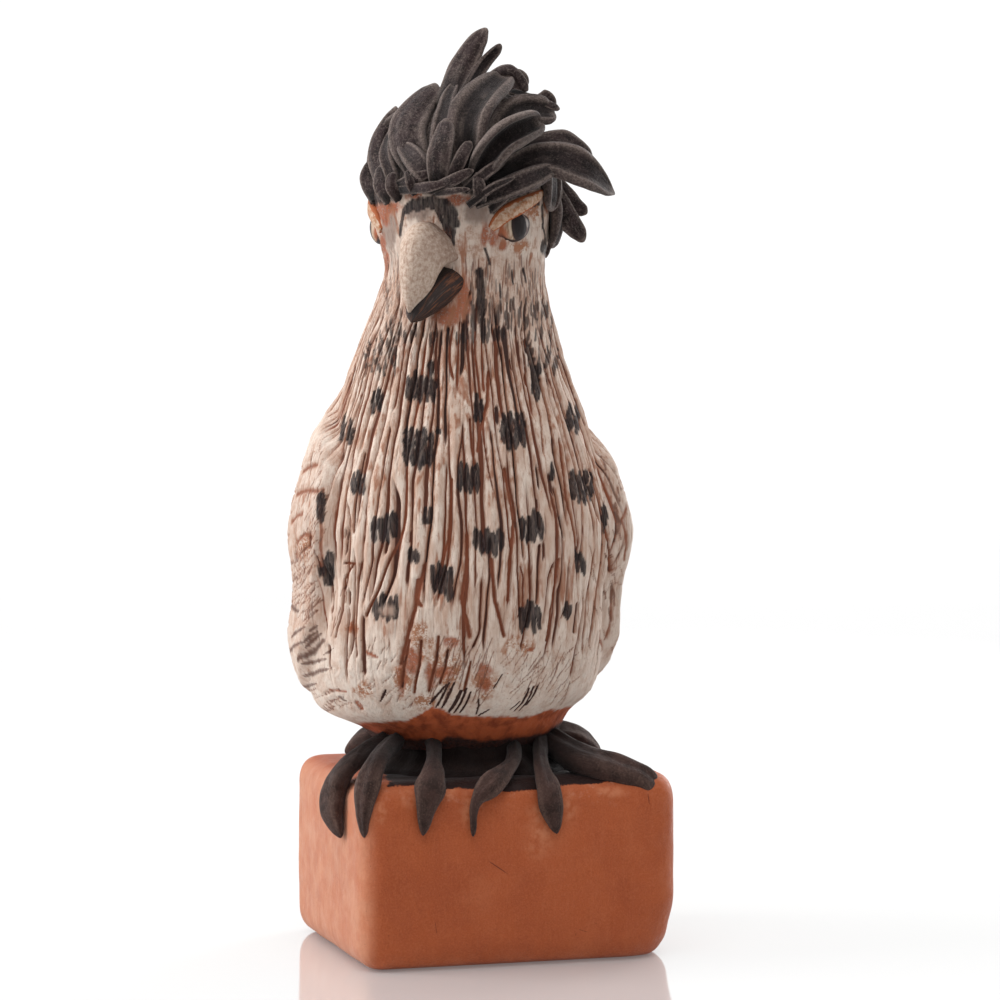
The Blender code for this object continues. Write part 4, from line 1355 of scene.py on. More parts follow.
# The beak: two halves rolled from clay and pressed onto the face, smoothed with a wet
# finger. The upper one is brushed with thin slip; the lower one is painted brown-black.
# Sizes in parts: reach from the head's axis, height, half width, half depth and how far to
# the right. Its finger marks are full where it is at least BEAK_FULL wide.
UPPER_BEAK = (
    (24, 218.5, 12.2, 8.6, 1.6),
    (36, 218.5, 12, 9.4, 1.6),
    (43.5, 216.2, 11, 10.2, 1.9),
    (48, 209.5, 9, 8.6, 2.2),
    (50.4, 200, 6.4, 6, 1.9),
    (51.5, 190.5, 0.6, 0.6, 0.6),
)
LOWER_BEAK = (
    (20, 205.3, 11, 7.4, 4.4),
    (31, 202, 10.6, 7.6, 4.4),
    (41.5, 195.8, 7.8, 6.8, 3.4),
    (48, 189.8, 4.4, 3.8, 2.2),
    (51, 186.6, 0.5, 0.5, 1.5),
)
BEAK_ARCH = 1.7
BEAK_RINGS = 72
BEAK_SIDES = 64
BEAK_FULL = 6


def ring_turns(sides):
    """The directions of a ring's points round its middle, in radians, as one row."""
    return 2 * math.pi * np.arange(sides)[None, :] / sides


def smooth_path(rows, at, stops=None):
    """Smooth curves through the columns of some rows, read at the places in at."""
    stops = range(len(rows)) if stops is None else stops
    return [curve_through(list(zip(stops, column)), at) for column in zip(*rows)]


def swept(spine, across, out, wide, deep):
    """Rings of points round a spine, each point wide across and deep outwards from it."""
    return spine[:, None] + across[:, None] * wide[..., None] + out[:, None] * deep[..., None]


def length_along(rings):
    """How far each ring's middle lies along a lump, in metres."""
    step = np.linalg.norm(np.diff(rings.mean(1), axis=0), axis=-1)
    return np.concatenate([[0], np.cumsum(step)])


def lump(rings, **marks):
    """A closed lump of clay through some rings of points: its points, faces and marks. Two
    marks are always there: how far a point lies across and along the lump, in metres."""
    count, sides = rings.shape[:2]
    middle = rings.mean(1)
    girth = np.linalg.norm(rings - middle[:, None], axis=-1).mean()
    marks["along"] = length_along(rings)[:, None] + np.zeros(sides)
    marks["across"] = girth * np.abs(ring_turns(sides) - math.pi)
    points = np.concatenate([rings.reshape(-1, 3), middle[[0, -1]]])
    ends = {}
    for name, values in marks.items():
        values = np.broadcast_to(values, rings.shape[:2])
        ends[name] = np.append(values.ravel(), values[[0, -1]].mean(1))
    return points, closed_faces(count, sides), ends


def gathered(lumps):
    """Several lumps as one list of points, faces and marks."""
    points, faces, marks, so_far = [], [], {}, 0
    for number, (lump_points, lump_faces, lump_marks) in enumerate(lumps):
        points.append(lump_points)
        faces += [[corner + so_far for corner in face] for face in lump_faces]
        lump_marks["across"] = lump_marks["across"] + 0.1 * number
        for name, values in lump_marks.items():
            marks.setdefault(name, []).append(values)
        so_far += len(lump_points)
    marks = {name: np.concatenate(values) for name, values in marks.items()}
    return np.concatenate(points), faces, marks


def lump_mottle(rings, size, seed, stretch=4.0):
    """Unevenness over a lump, drawn out along its length."""
    count, sides = rings.shape[:2]
    along = length_along(rings) / stretch
    spot = rings - rings.mean(1)[:, None]
    flat = np.stack([np.linalg.norm(spot[..., :2], axis=-1) * np.sign(spot[..., 0]), spot[..., 2]], -1)
    local = np.concatenate([flat, np.broadcast_to(along[:, None, None], (count, sides, 1))], -1)
    return mottle(local.reshape(-1, 3), size, seed).reshape(count, sides)


def drawn_grain(tree, size, stretch, seed, detail=5, rough=0.6):
    """Unevenness drawn out along a lump, whichever way the lump points."""
    where = tree.nodes.new("ShaderNodeCombineXYZ")
    join(where.inputs["X"], marked(tree, "across"))
    join(where.inputs["Y"], marked(tree, "along"))
    return cloud(tree, where.outputs["Vector"], (1 / size, 1 / (size * stretch), 1), detail, rough, seed)


def beak_half(stations, arched, seed):
    """One half's rings, how far along it each is, and how high and how far right its points
    lie on them. arched gives it a ridge on top."""
    reach, height, half, deep, right = smooth_path(stations, np.linspace(0, len(stations) - 1, BEAK_RINGS))
    spine = placed(HEAD_TURN, right, reach, height)
    across = unit(placed(HEAD_TURN, 1, 0, 0) - placed(HEAD_TURN, 0, 0, 0))
    out = unit(np.cross(np.gradient(spine, axis=0), across))
    across = np.broadcast_to(across, out.shape)
    turn = 2 * math.pi * (np.arange(BEAK_SIDES) + 0.5) / BEAK_SIDES
    rise = np.sin(turn)
    narrow = np.cos(turn)
    if arched:
        full = (1 - ((rise + 1) / 2) ** BEAK_ARCH) ** 0.5 * (1 - 0.4 * soft_step(-0.6, -1, rise))
        narrow = np.copysign(full, narrow)
    rings = swept(spine, across, out, half[:, None] * narrow * PART, deep[:, None] * rise * PART)
    pressed = 0.4 * lump_mottle(rings, 6 * MM, seed) + 0.16 * lump_mottle(rings, 2 * MM, seed + 1)
    thick = np.minimum(half, BEAK_FULL)[:, None, None] / BEAK_FULL
    rings = rings + unit(rings - spine[:, None]) * pressed[..., None] * thick * MM
    return rings, np.linspace(0, 1, BEAK_RINGS)[:, None], rise, soft_step(0.2, 0.9, np.cos(turn))


horn, tree, shader = start_finish("beak_slip", 0.7, specular=0.35)
drawn = drawn_grain(tree, 1.1 * MM, 5, 21)
dust = grain(tree, 1.7 * MM, detail=8, rough=0.72, seed=22)
coat = coated(
    tree,
    colour(204, 184, 168),
    (None, between(dust, 0.36, 0.66), colour(166, 138, 120)),
    (None, between(drawn, 0.54, 0.72, 0, 0.6), colour(134, 102, 85)),
    (None, between(drawn, 0.44, 0.30, 0, 0.5), colour(212, 194, 180)),
    # darker at the root, and down the right side as painted shade
    ("root", between(dust, 0.3, 0.6, 0.6, 1), colour(126, 100, 86)),
    ("lip", 0.8, colour(136, 84, 58)),
)
finished(shader, coat, dust, 0.6, 0.8, [(drawn, 0.3 * MM), (dust, 0.3 * MM)])
rings, share, rise, right_side = beak_half(UPPER_BEAK, True, 31)
root = soft_step(0.36, 0.2, share) * soft_step(0, 0.7, rise)
# the right side darkened too, as painted shade
root = np.maximum(root, 0.6 * right_side * soft_step(0.9, 0.3, share))
lip = soft_step(-0.72, -0.95, rise) * soft_step(0.2, 0.5, share)
clay_piece("upper_beak", *lump(rings, root=root, lip=lip), horn)

dark_horn, tree, shader = start_finish("painted_lower_beak", 0.62, specular=0.35)
combed = drawn_grain(tree, 1.0 * MM, 12, 23)
smoky = grain(tree, 2.4 * MM, seed=24)
coat = coated(
    tree,
    colour(46, 32, 28),
    (None, between(combed, 0.52, 0.62), colour(108, 66, 45)),
    (None, between(combed, 0.66, 0.74), colour(160, 104, 72)),
    (None, between(combed, 0.42, 0.34, 0, 0.7), colour(92, 74, 66)),
    ("lip", 1, colour(30, 22, 21)),
    (None, between(smoky, 0.5, 0.7, 0, 0.7), colour(34, 26, 25)),
)
finished(shader, coat, combed, 0.5, 0.72, [(combed, 0.6 * MM), (grain(tree, 0.6 * MM, seed=25), 0.15 * MM)])
rings, share, rise, _ = beak_half(LOWER_BEAK, False, 33)
lip = soft_step(0.6, 0.95, rise) * soft_step(1, 0.8, share)
clay_piece("lower_beak", *lump(rings, lip=lip), dark_horn)

# The eyes: almond pads of clay pressed into the face, painted with a dark upright iris, paler
# on the right of the pupil as painted highlight, a black rim and a touch of white that is a
# painted glint, and burnished so that they catch the light.
EYE_PIXEL = (516, 228)
EYE_HALF_LONG = 8.6 * MM
EYE_HALF_HIGH = 5.7 * MM
EYE_BULGE = 3.4 * MM
EYE_SLANT = math.radians(22)
FAR_EYE_BACK = math.radians(9)
IRIS_ALONG = 1.8 * MM
IRIS_HALF = (4.9 * MM, 6.2 * MM)
PUPIL_ALONG = -1.2 * MM
PUPIL_HALF = (3.7 * MM, 5.9 * MM)
GLINT_AT = (3.0 * MM, 1.2 * MM)
GLINT_HALF = (1.0 * MM, 2.4 * MM)
CORNER_FROM = -4.4 * MM
CORNER_TO = -6.6 * MM
EYE_SUNK = 0.9 * MM
EYE_DROOP = 1.8 * MM
EYE_SKIRT = 3 * MM
EYE_POINTED = 0.32
EYE_RINGS = 40
EYE_SPOKES = 96
HEAD_ON_BODY = HEAD_TURN - BODY_TURN
A_LITTLE_ROUND = 0.02

eye_turn, eye_up = on_skin(*EYE_PIXEL)
eye_turn -= HEAD_ON_BODY


def eye_pad(side):
    """The pad's rings of points, and each point's place along and over it."""
    middle = np.array(HEAD_ON_BODY + side * (eye_turn + FAR_EYE_BACK * (side < 0)))
    centre = skin_points(middle, np.array(eye_up))
    beyond = skin_points(middle + side * A_LITTLE_ROUND, np.array(eye_up))
    over = skin_points(middle, np.array(eye_up + 1.0))
    along = unit(beyond - centre)
    over = unit(over - centre)
    out = unit(np.cross(along, over)) * side
    along, over = (
        along * math.cos(EYE_SLANT) + over * math.sin(EYE_SLANT),
        over * math.cos(EYE_SLANT) - along * math.sin(EYE_SLANT),
    )
    share = np.linspace(1, 0.02, EYE_RINGS)[:, None]
    turn = ring_turns(EYE_SPOKES) * side
    x = EYE_HALF_LONG * np.cos(turn) * share
    y = EYE_HALF_HIGH * np.sin(turn) * share * (1 - EYE_POINTED * np.cos(turn) ** 4)
    dome = np.sqrt(np.maximum(1 - share**2 * 0.97, 0)) + 0 * turn
    z = EYE_BULGE * dome - EYE_SUNK - (x / EYE_HALF_LONG) ** 2 * EYE_DROOP
    rings = centre + along * x[..., None] + over * y[..., None] + out * z[..., None]
    rings = np.concatenate([rings[:1] - out * EYE_SKIRT, rings])
    return rings, *(np.concatenate([part[:1], part]) for part in (x, y))


glass, tree, shader = start_finish("burnished_eye", 0.42, specular=0.35)
streak = grain(tree, 1.2 * MM, stretch=(1, 1, 4), seed=26)
coat = coated(
    tree,
    colour(196, 174, 152),
    (None, between(streak, 0.4, 0.66), colour(150, 118, 94)),
    ("corner", 1, colour(160, 88, 54)),
    # the iris pale on the right of the pupil, and the glint: painted highlight
    ("iris", 1, laid_over(between(streak, 0.40, 0.66), colour(146, 128, 121), colour(84, 60, 56))),
    ("pupil", 1, colour(24, 13, 14)),
    ("rim", 1, colour(38, 22, 19)),
    ("glint", 1, colour(176, 166, 160)),
)
finished(shader, coat, streak, 0.45, 0.6, [(streak, 0.2 * MM)])
for name, side in (("left_eye", 1), ("right_eye", -1)):
    rings, x, y = eye_pad(side)
    upright_x = (x - IRIS_ALONG) * math.cos(EYE_SLANT) - y * math.sin(EYE_SLANT)
    upright_y = (x - IRIS_ALONG) * math.sin(EYE_SLANT) + y * math.cos(EYE_SLANT)
    iris = np.hypot(upright_x / IRIS_HALF[0], upright_y / IRIS_HALF[1])
    pupil = np.hypot((upright_x - PUPIL_ALONG) / PUPIL_HALF[0], upright_y / PUPIL_HALF[1])
    glint = np.hypot((upright_x - GLINT_AT[0]) / GLINT_HALF[0], (upright_y - GLINT_AT[1]) / GLINT_HALF[1])
    lid = soft_step(0.74, 0.86, np.hypot(x / EYE_HALF_LONG, y / EYE_HALF_HIGH))
    lid = lid * soft_step(0.3, -0.4, y / EYE_HALF_HIGH)
    eye_marks = {
        "iris": soft_step(1.0, 0.9, iris),
        "rim": np.maximum(soft_step(0.74, 0.86, iris) * soft_step(1.10, 1.02, iris), lid),
        "pupil": soft_step(1.08, 0.92, pupil),
        "glint": soft_step(1, 0.5, glint),
        "corner": soft_step(CORNER_FROM, CORNER_TO, x),
    }
    clay_piece(name, *lump(rings, **eye_marks), glass)

# The brows: a thin strip of clay over each eye, slipped pale, its edges rubbed down to the
# red clay. Sizes in parts.
BROW_PIXELS = ((491, 228), (504, 215), (520, 205), (541, 193))
BROW_WIDTH = 7.2
BROW_THICK = 4.4
BROW_LEVEL = 230
BROW_STANDS = 0.2
BROW_RINGS = 64
BROW_SIDES = 32
BROW_SQUARE = 0.8
BROW_DENTS = 0.5 * MM

strip, tree, shader = start_finish("slipped_brow", 0.78, specular=0.3)
chalky = grain(tree, 2.2 * MM, detail=8, rough=0.72, seed=27)
edge_wear = sums("ADD", marked(tree, "edge"), between(chalky, 0.4, 0.66, -0.15, 0.6))
coat = coated(
    tree,
    colour(204, 178, 156),
    (None, between(chalky, 0.38, 0.60), colour(172, 128, 98)),
    (None, between(edge_wear, 0.35, 0.75), colour(166, 92, 54)),
)
finished(shader, coat, chalky, 0.7, 0.88, [(chalky, 0.5 * MM)])
brow = [(turn - HEAD_ON_BODY, level) for turn, level in (on_skin(*pixel) for pixel in BROW_PIXELS)]
turned, level = smooth_path(brow, np.linspace(0, len(brow) - 1, BROW_RINGS))
share = np.linspace(0, 1, BROW_RINGS)[:, None]
full = np.sin(math.pi * (0.06 + 0.88 * share)) ** 0.5
turn = ring_turns(BROW_SIDES)
wide = BROW_WIDTH / 2 * PART * full * np.copysign(np.abs(np.cos(turn)) ** BROW_SQUARE, np.cos(turn))
deep = BROW_THICK / 2 * PART * full * np.sin(turn)
rim = soft_step(0.45, 0.85, np.abs(np.cos(turn)))
for name, side in (("left_brow", 1), ("right_brow", -1)):
    spine = skin_points(HEAD_ON_BODY + side * turned, level, BROW_STANDS)
    ahead = np.gradient(spine, axis=0)
    flat_out = spine - placed(HEAD_TURN, 0, 0, BROW_LEVEL)
    flat_out[:, 2] = 0
    across = unit(np.cross(ahead, unit(flat_out)))
    out = unit(np.cross(across, ahead))
    rings = swept(spine, across, out, wide, deep)
    dented = BROW_DENTS * lump_mottle(rings, 3 * MM, 35 + side)
    rings = rings + out[:, None] * dented[..., None]
    clay_piece(name, *lump(rings, edge=rim), strip)

# The crest: tongues of black-slipped clay rolled flat between the fingers, each pressed on
# by its root and bent over the next, with the slip rubbed grey along the rims, paler there also
# as painted highlight, and painted shade in their hollows and at their roots.
SKULL_MIDDLE = 236
SKULL_REACH = 36
SKULL_ABOVE = 49
SKULL_BELOW = 62
TONGUE_RINGS = 44
TONGUE_SIDES = 38
TONGUE_SINK = 3.5
TONGUE_BROAD = 15 * MM

# How a tongue is shaped, as shares of its length, half width or thickness: where it starts
# to round off to the tip, where its rolled rims stand, how wide and high they are, and how
# deep the furrows between them are. THINNEST is the least width of its tip.
TONGUE_BLUNT = 0.82
RIM_AT = 0.82
RIM_WIDE = 0.18
RIM_HIGH = 0.40
FURROW_DEEP = 0.18
THINNEST = 0.2 * MM

# Each tongue's root, middle and tip: the photograph's x and y, and how far it stands off
# the skull, in parts. Then its three widths in pixels, how far it is rolled up (radians,
# negative where its back is to the camera) and how far it is turned to the left.
CREST_TONGUES = (
    # the two spikes at the top, and the lobes behind the broad leaf
    ((446, 104, -3), (464, 63, -1), (487, 28, 0), (25, 26, 13), -0.7, 20),
    ((459, 102, 0), (479, 70, 1), (501, 44, 1), (14, 14, 11), 0.6, -20),
    ((492, 112, -8), (511, 86, -7), (526, 73, -7), (24, 22, 18), -0.5, 0),
    ((522, 128, -9), (540, 106, -8), (553, 94, -8), (22, 22, 19), -0.5, 0),
    # the broad leaves of the middle, from left to right
    ((424, 180, 2), (407, 130, 4), (435, 83, 2), (28, 38, 22), -0.5, 25),
    ((440, 182, 4), (441, 128, 7), (456, 81, 4), (17, 20, 11), 0.6, 10),
    ((470, 176, 3), (472, 114, 8), (508, 76, 7), (30, 42, 28), 0.75, 20),
    ((484, 86, 9), (509, 70, 10), (528, 91, 7), (9, 12, 10), -0.9, 20),
    ((492, 164, 4), (516, 118, 10), (555, 113, 10), (26, 34, 28), 0.8, 25),
    ((516, 93, 8), (538, 100, 12), (560, 109, 11), (8, 10, 8), -0.8, 40),
    ((472, 186, 8), (500, 142, 15), (540, 122, 28), (16, 25, 19), 1.9, 0),
    ((468, 188, 9), (487, 172, 14), (507, 158, 14), (9, 11, 7), 0.5, 0),
    # the long leaves swept to the right
    ((520, 156, 2), (562, 144, 14), (593, 160, 4), (24, 27, 14), -0.6, 10),
    ((492, 182, 6), (540, 161, 22), (582, 171, 26), (615, 194, 12), (20, 36, 40, 10), 0.5, 30),
    ((478, 202, 8), (518, 183, 15), (556, 168, 30), (12, 24, 14), 0.4, 10),
    ((472, 203, 9), (494, 187, 16), (515, 177, 17), (8, 9, 5), 0.5, 0),
    ((532, 176, -2), (546, 195, 4), (548, 214, 0), (20, 15, 9), -0.5, 0),
    # the low ones that hang behind the right side of the face
    ((547, 184, -2), (565, 213, 1), (584, 242, -3), (20, 23, 14), -0.7, 10),
    ((554, 180, -8), (570, 200, -7), (587, 214, -9), (15, 17, 11), -0.6, 10),
    ((550, 180, -3), (561, 198, -2), (571, 213, -6), (8, 8, 5), -0.8, 0),
    ((545, 198, -1), (548, 230, -1), (546, 258, -4), (11, 10, 5), -0.5, 0),
    # the left side: tall outer leaf, the ones beside it, and the dark one that lies across
    ((388, 196, 0), (378, 150, 3), (396, 106, -2), (17, 20, 11), -0.6, 25),
    ((399, 194, 4), (387, 158, 7), (389, 131, 4), (12, 14, 8), 0.5, 20),
    ((440, 186, 6), (420, 166, 8), (400, 143, 5), (16, 25, 14), 0.35, 0),
    ((438, 188, 9), (440, 152, 13), (446, 118, 9), (17, 23, 15), -0.5, 15),
    ((448, 186, 10), (460, 160, 13), (471, 141, 10), (11, 13, 8), -0.6, 0),
    # short ones pressed along the hairline
    ((434, 189, 11), (456, 179, 14), (474, 170, 13), (9, 11, 6), -0.5, 0),
    ((404, 190, 8), (426, 187, 11.5), (448, 183, 12), (9, 11, 6), -0.5, 0),
    ((398, 186, 6), (414, 179, 9), (433, 171, 9), (10, 13, 7), -0.4, 0),
    ((440, 193, 11.5), (455, 191, 13), (470, 189, 13), (4, 5, 3), -0.5, 0),
    ((480, 200, 9), (479, 187, 13), (477, 172, 11), (10, 11, 6), -0.5, 0),
    ((494, 207, 8), (506, 194, 12), (527, 186, 14), (9, 12, 6), -0.5, 0),
    ((376, 198, 2), (368, 180, 3), (371, 158, 0), (13, 16, 8), -0.5, 10),
    ((390, 199, 4), (381, 184, 7), (380, 165, 5), (12, 15, 7), -0.5, 10),
    ((399, 196, 6), (392, 186, 9), (393, 172, 7), (10, 12, 7), -0.5, 0),
    ((414, 190, 8), (410, 182, 11), (408, 170, 9), (9, 10, 7), -0.5, 0),
)

# The rows behind: degrees up the skull at the root and the tip, how many, how far they
# stand off it, their width, and how far round from the front the row ends.
BACK_ROWS = (
    (84, 38, 5, 5, 16, 264),
    (58, 12, 6, 5, 18, 262),
    (34, -3, 7, 5, 17, 256),
    (12, -17, 7, 5, 15, 238),
)
BACK_FROM = 80
BACK_SWEEP = math.radians(-14)
BACK_BOW = 5
BACK_SPREAD = 4
BACK_SHAPE = np.array([0.7, 1, 0.62])
BACK_ROLL = 0.55


def seen_on(x, y, spot, facing):
    """The place that the photograph shows at x, y on the plane through spot that faces facing."""
    off = [(x - PHOTO_PIXELS / 2) / FOCAL_PIXELS, (PHOTO_PIXELS / 2 - y) / FOCAL_PIXELS, -1]
    ahead = np.array(LOOK.to_matrix()) @ np.array(off)
    return np.array(EYE) + ahead * ((spot - np.array(EYE)) @ facing) / (ahead @ facing)


def tongue(places, widths, roll, facing, seed, thickness=0.30):
    """A tongue of clay through some places, rolled up along its length."""
    draw = np.random.RandomState(seed)
    share = 1 - (1 - np.linspace(0, 1, TONGUE_RINGS)) ** 1.5
    stops = np.linspace(0, 1, len(places))
    spine = np.stack(smooth_path(places, share, stops), -1)
    ahead = unit(np.gradient(spine, axis=0))
    across = unit(np.cross(ahead, facing))
    out = unit(np.cross(across, ahead))
    full = curve_through(list(zip(stops, widths)), share)
    to_tip = np.clip((share - TONGUE_BLUNT) / (1 - TONGUE_BLUNT), 0, 1)
    blunt = np.sqrt(np.clip(1 - to_tip**2.2, 0, 1))
    full = np.maximum(full * blunt, THINNEST)[:, None]
    share = share[:, None]
    turn = ring_turns(TONGUE_SIDES)
    side = np.copysign(np.abs(np.cos(turn)) ** 0.85, np.cos(turn))
    rise = np.sin(turn)
    curl = roll * (1 + 0.25 * np.sin(2 * share + draw.uniform(0, 6))) * soft_step(-0.3, 0.5, share)
    curl = np.where(np.abs(curl) < 0.05, 0.05, curl)
    sheet = full * np.abs(curl) / np.sin(np.minimum(np.abs(curl), 1.3))
    bend = side * curl
    thick = thickness * np.minimum(full, TONGUE_BROAD) * (1 + 0.3 * (1 - share))
    rim = np.exp(-(((np.abs(side) - RIM_AT) / RIM_WIDE) ** 2))
    furrow = np.cos(2 * math.pi * draw.choice((1.5, 2, 2.5)) * side + 1.2 * share + draw.uniform(0, 6))
    relief = (RIM_HIGH * rim - FURROW_DEEP * furrow * (1 - rim)) * soft_step(-0.1, 0.5, rise)
    deep = thick / 2 * (rise + relief * soft_step(0, 0.1, 1 - share))
    radius = sheet / 2 / curl
    wide = radius * np.sin(bend) - deep * np.sin(bend)
    deep = radius * (1 - np.cos(bend)) + deep * np.cos(bend)
    wide = wide + 0.06 * full * np.sin(share * draw.uniform(3, 7) + draw.uniform(0, 6)) * share
    rings = swept(spine, across, out, wide, deep)
    lumpy = 0.6 * lump_mottle(rings, 4 * MM, seed) + 0.28 * lump_mottle(rings, 1.4 * MM, seed + 3, 6)
    away = unit(rings - rings.mean(1)[:, None])
    rings = rings + away * (lumpy * soft_step(0, 0.1, 1 - share) * MM)[..., None]
    # the rims, high lumps and tip paler: wear, and painted highlight too
    worn = np.maximum(rim * (0.65 + 0.5 * lumpy), soft_step(0.2, 0.7, lumpy) * 0.55)
    worn = np.clip(np.maximum(worn, soft_step(0.88, 1, share) * 0.8), 0, 1)
    # painted shade: darker inside a rolled-up tongue and at its root
    inner = min(1.3 * roll, 1) if roll > 0 else 0
    hollow = soft_step(0.85, 0.4, np.abs(side)) * soft_step(0.1, 0.7, rise) * inner
    hollow = np.maximum(hollow * (1 - 0.4 * share), soft_step(0.45, 0.05, share))
    return lump(rings, worn=worn, hollow=hollow)


crest_axis = placed(CREST_TURN, 0, 0, 0)
crest_front = unit(placed(CREST_TURN, 0, 1, 0) - crest_axis)
crest_right = unit(placed(CREST_TURN, 1, 0, 0) - crest_axis)


def seen_on_crest(x, y, stand):
    """A place standing off the skull, where the photograph shows it."""
    spot = crest_axis
    for attempt in range(3):
        place = seen_on(x, y, spot, crest_front)
        across = (place - crest_axis) @ crest_right / PART
        rise = (place[2] - BLOCK_HEIGHT) / PART - SKULL_MIDDLE
        over = 1 - (across / SKULL_REACH) ** 2 - (rise / (SKULL_ABOVE if rise > 0 else SKULL_BELOW)) ** 2
        spot = crest_axis + crest_front * (SKULL_REACH * math.sqrt(max(over, 0)) + stand) * PART
    return seen_on(x, y, spot, crest_front)


def crest_tongue(places, widths, roll, turned, seed):
    """One of the tongues that the photograph shows, from its row in the table."""
    places = [seen_on_crest(*place) for place in places]
    ahead = unit(places[-1] - places[0])
    to_camera = unit(np.array(EYE) - places[1])
    across = unit(np.cross(ahead, to_camera))
    facing = to_camera * math.cos(math.radians(turned)) - across * math.sin(math.radians(turned))
    places[0] = places[0] - (ahead * 0.5 + to_camera) * TONGUE_SINK * PART
    return tongue(places, [width * PIXEL for width in widths], roll, facing, seed)


def back_tongue(root, tip, width, bow, seed):
    """A tongue between two places round the back of the skull, in parts from its middle."""
    root, tip, middle = (
        placed(CREST_TURN, right, near, SKULL_MIDDLE + rise)
        for right, near, rise in (root, tip, (0, 0, -BACK_SPREAD))
    )
    outward = unit(root + 0.4 * (tip - root) - middle)
    sunk = root - (unit(tip - root) + outward) * TONGUE_SINK * PART
    bowed = (sunk + tip) / 2 + outward * bow * PART
    return tongue([sunk, bowed, tip], BACK_SHAPE * width * PART, BACK_ROLL, outward, seed)


def on_skull(turn, raised, stand):
    """A place round the skull and up it, in parts to the right, to the front and up."""
    level = (SKULL_REACH + stand) * math.cos(raised)
    height = (SKULL_ABOVE if raised > 0 else SKULL_BELOW) * math.sin(raised)
    return level * math.sin(turn), level * math.cos(turn), height


def black_slip(name, seed, tones):
    """Black slip over clay: painted shade darkest in the hollows, rubbed grey and brown on the rims as wear
    and painted highlight.
    """
    base, cloudy, worn, deep = (colour(*tone) for tone in tones)
    finish, tree, shader = start_finish(name, 0.72, specular=0.22, sheen=CLAY_SHEEN)
    drawn = drawn_grain(tree, 0.5 * MM, 6, seed, detail=6, rough=0.7)
    clouds = grain(tree, 5 * MM, detail=6, seed=seed + 1)
    fine = grain(tree, 0.9 * MM, detail=6, rough=0.8, seed=seed + 2)
    coat = coated(
        tree,
        base,
        (None, between(clouds, 0.38, 0.66), cloudy),
        (None, between(fine, 0.50, 0.68, 0, 0.5), worn),
        (None, between(drawn, 0.52, 0.70, 0, 0.34), worn),
        # painted shade in the hollows, and wear and painted highlight on the rims
        ("hollow", 0.9, deep),
        ("worn", between(fine, 0.36, 0.60, 0.25, 1), worn),
    )
    finished(shader, coat, clouds, 0.64, 0.82, [(drawn, 0.4 * MM), (fine, 0.3 * MM)])
    return finish


crest_slip = black_slip("crest_black_slip", 31, ((48, 33, 33), (28, 18, 18), (140, 124, 116), (9, 4, 4)))
front = [crest_tongue(row[:-3], *row[-3:], 100 + k) for k, row in enumerate(CREST_TONGUES)]
clay_piece("crest_leaves", *gathered(front), crest_slip)
back = []
for row, (high, low, count, stand, width, row_end) in enumerate(BACK_ROWS):
    for k in range(count):
        share = (k + 0.5 * (row % 2)) / (count - 0.5)
        turn = math.radians(BACK_FROM + share * (row_end - BACK_FROM))
        root = on_skull(turn, math.radians(high), 0)
        tip = on_skull(turn + BACK_SWEEP, math.radians(low), stand)
        back.append(back_tongue(root, tip, width, BACK_BOW, 200 + 10 * row + k))
clay_piece("crest_back_leaves", *gathered(back), crest_slip)

# The tail: three slabs of clay laid over each other at the back, slipped and scored.
TAIL_FEATHERS = ((-12, 64), (12, 64), (0, 68))
TAIL_ROOT_UP = 80
TAIL_ROOT_REACH = 46
TAIL_TIP_UP = 14
TAIL_WIDTH = 29
TAIL_BOW = 4
TAIL_SHAPE = np.array([0.75, 1, 0.7])
TAIL_ROLL = -0.35
TAIL_THICKNESS = 0.62

tail_slip, tree, shader = start_finish("tail_cream_slip", 0.8)
combed = drawn_grain(tree, 1.6 * MM, 14, 41)
coat = coated(
    tree,
    SLIP_CREAM,
    (None, between(combed, 0.42, 0.56), SLIP_THIN),
    (None, between(combed, 0.55, 0.60), GOUGE_RED),
    (None, between(combed, 0.62, 0.68), GOUGE_DARK),
    # painted shade at the root, and wear and painted highlight on the rims
    ("hollow", 0.6, SLIP_STAINED),
    ("worn", 0.6, SLIP_WHITE),
)
finished(shader, coat, combed, 0.65, 0.85, [(between(combed, 0.5, 0.62, 1, 0), 1.2 * MM)])
outward = unit(placed(BODY_TURN, 0, -1, 0.4) - placed(BODY_TURN, 0, 0, 0))
slabs = []
for k, (right, reach) in enumerate(TAIL_FEATHERS):
    start = placed(BODY_TURN, right / 2, -TAIL_ROOT_REACH, TAIL_ROOT_UP)
    end = placed(BODY_TURN, right, -reach, TAIL_TIP_UP)
    bowed = (start + end) / 2 + outward * TAIL_BOW * PART
    widths = TAIL_SHAPE * TAIL_WIDTH * PART
    slabs.append(tongue([start, bowed, end], widths, TAIL_ROLL, outward, 300 + k, TAIL_THICKNESS))
clay_piece("tail", *gathered(slabs), tail_slip)

# The feet: a lump under the belly, given the dark colour of painted shade all over, and four
# toes on each foot, rolled from the same clay, pressed flat, and bent down over the block's
# edges to a claw, their roots darkened as painted shade and their edges paler with wear and
# painted highlight. The lump's rings have their height in parts and how far they flare. A
# toe's keel and the groove beside it are in shares of its half width.
PAD_RINGS = ((-1.0, 1.24), (1.2, 1.18), (3, 1.08), (6, 0.98), (10, 0.91), (14, 0.90), (17, 0.92))
PAD_HALF_WIDTH = 41
PAD_HALF_DEPTH = 36.5
PAD_RIGHT = 5
PAD_SIDES = 160
PAD_LEVELS = 26
TOE_RINGS = 72
TOE_SIDES = 36
TOE_EDGE = 0.85
TOE_BLUNT = 0.93
TOE_ROOT_ROUND = 0.9
KEEL_HIGH = 0.2
KEEL_WIDE = 0.3
GROOVE_DEEP = 0.14
GROOVE_WIDE = 0.22
GROOVE_ASIDE = 0.5

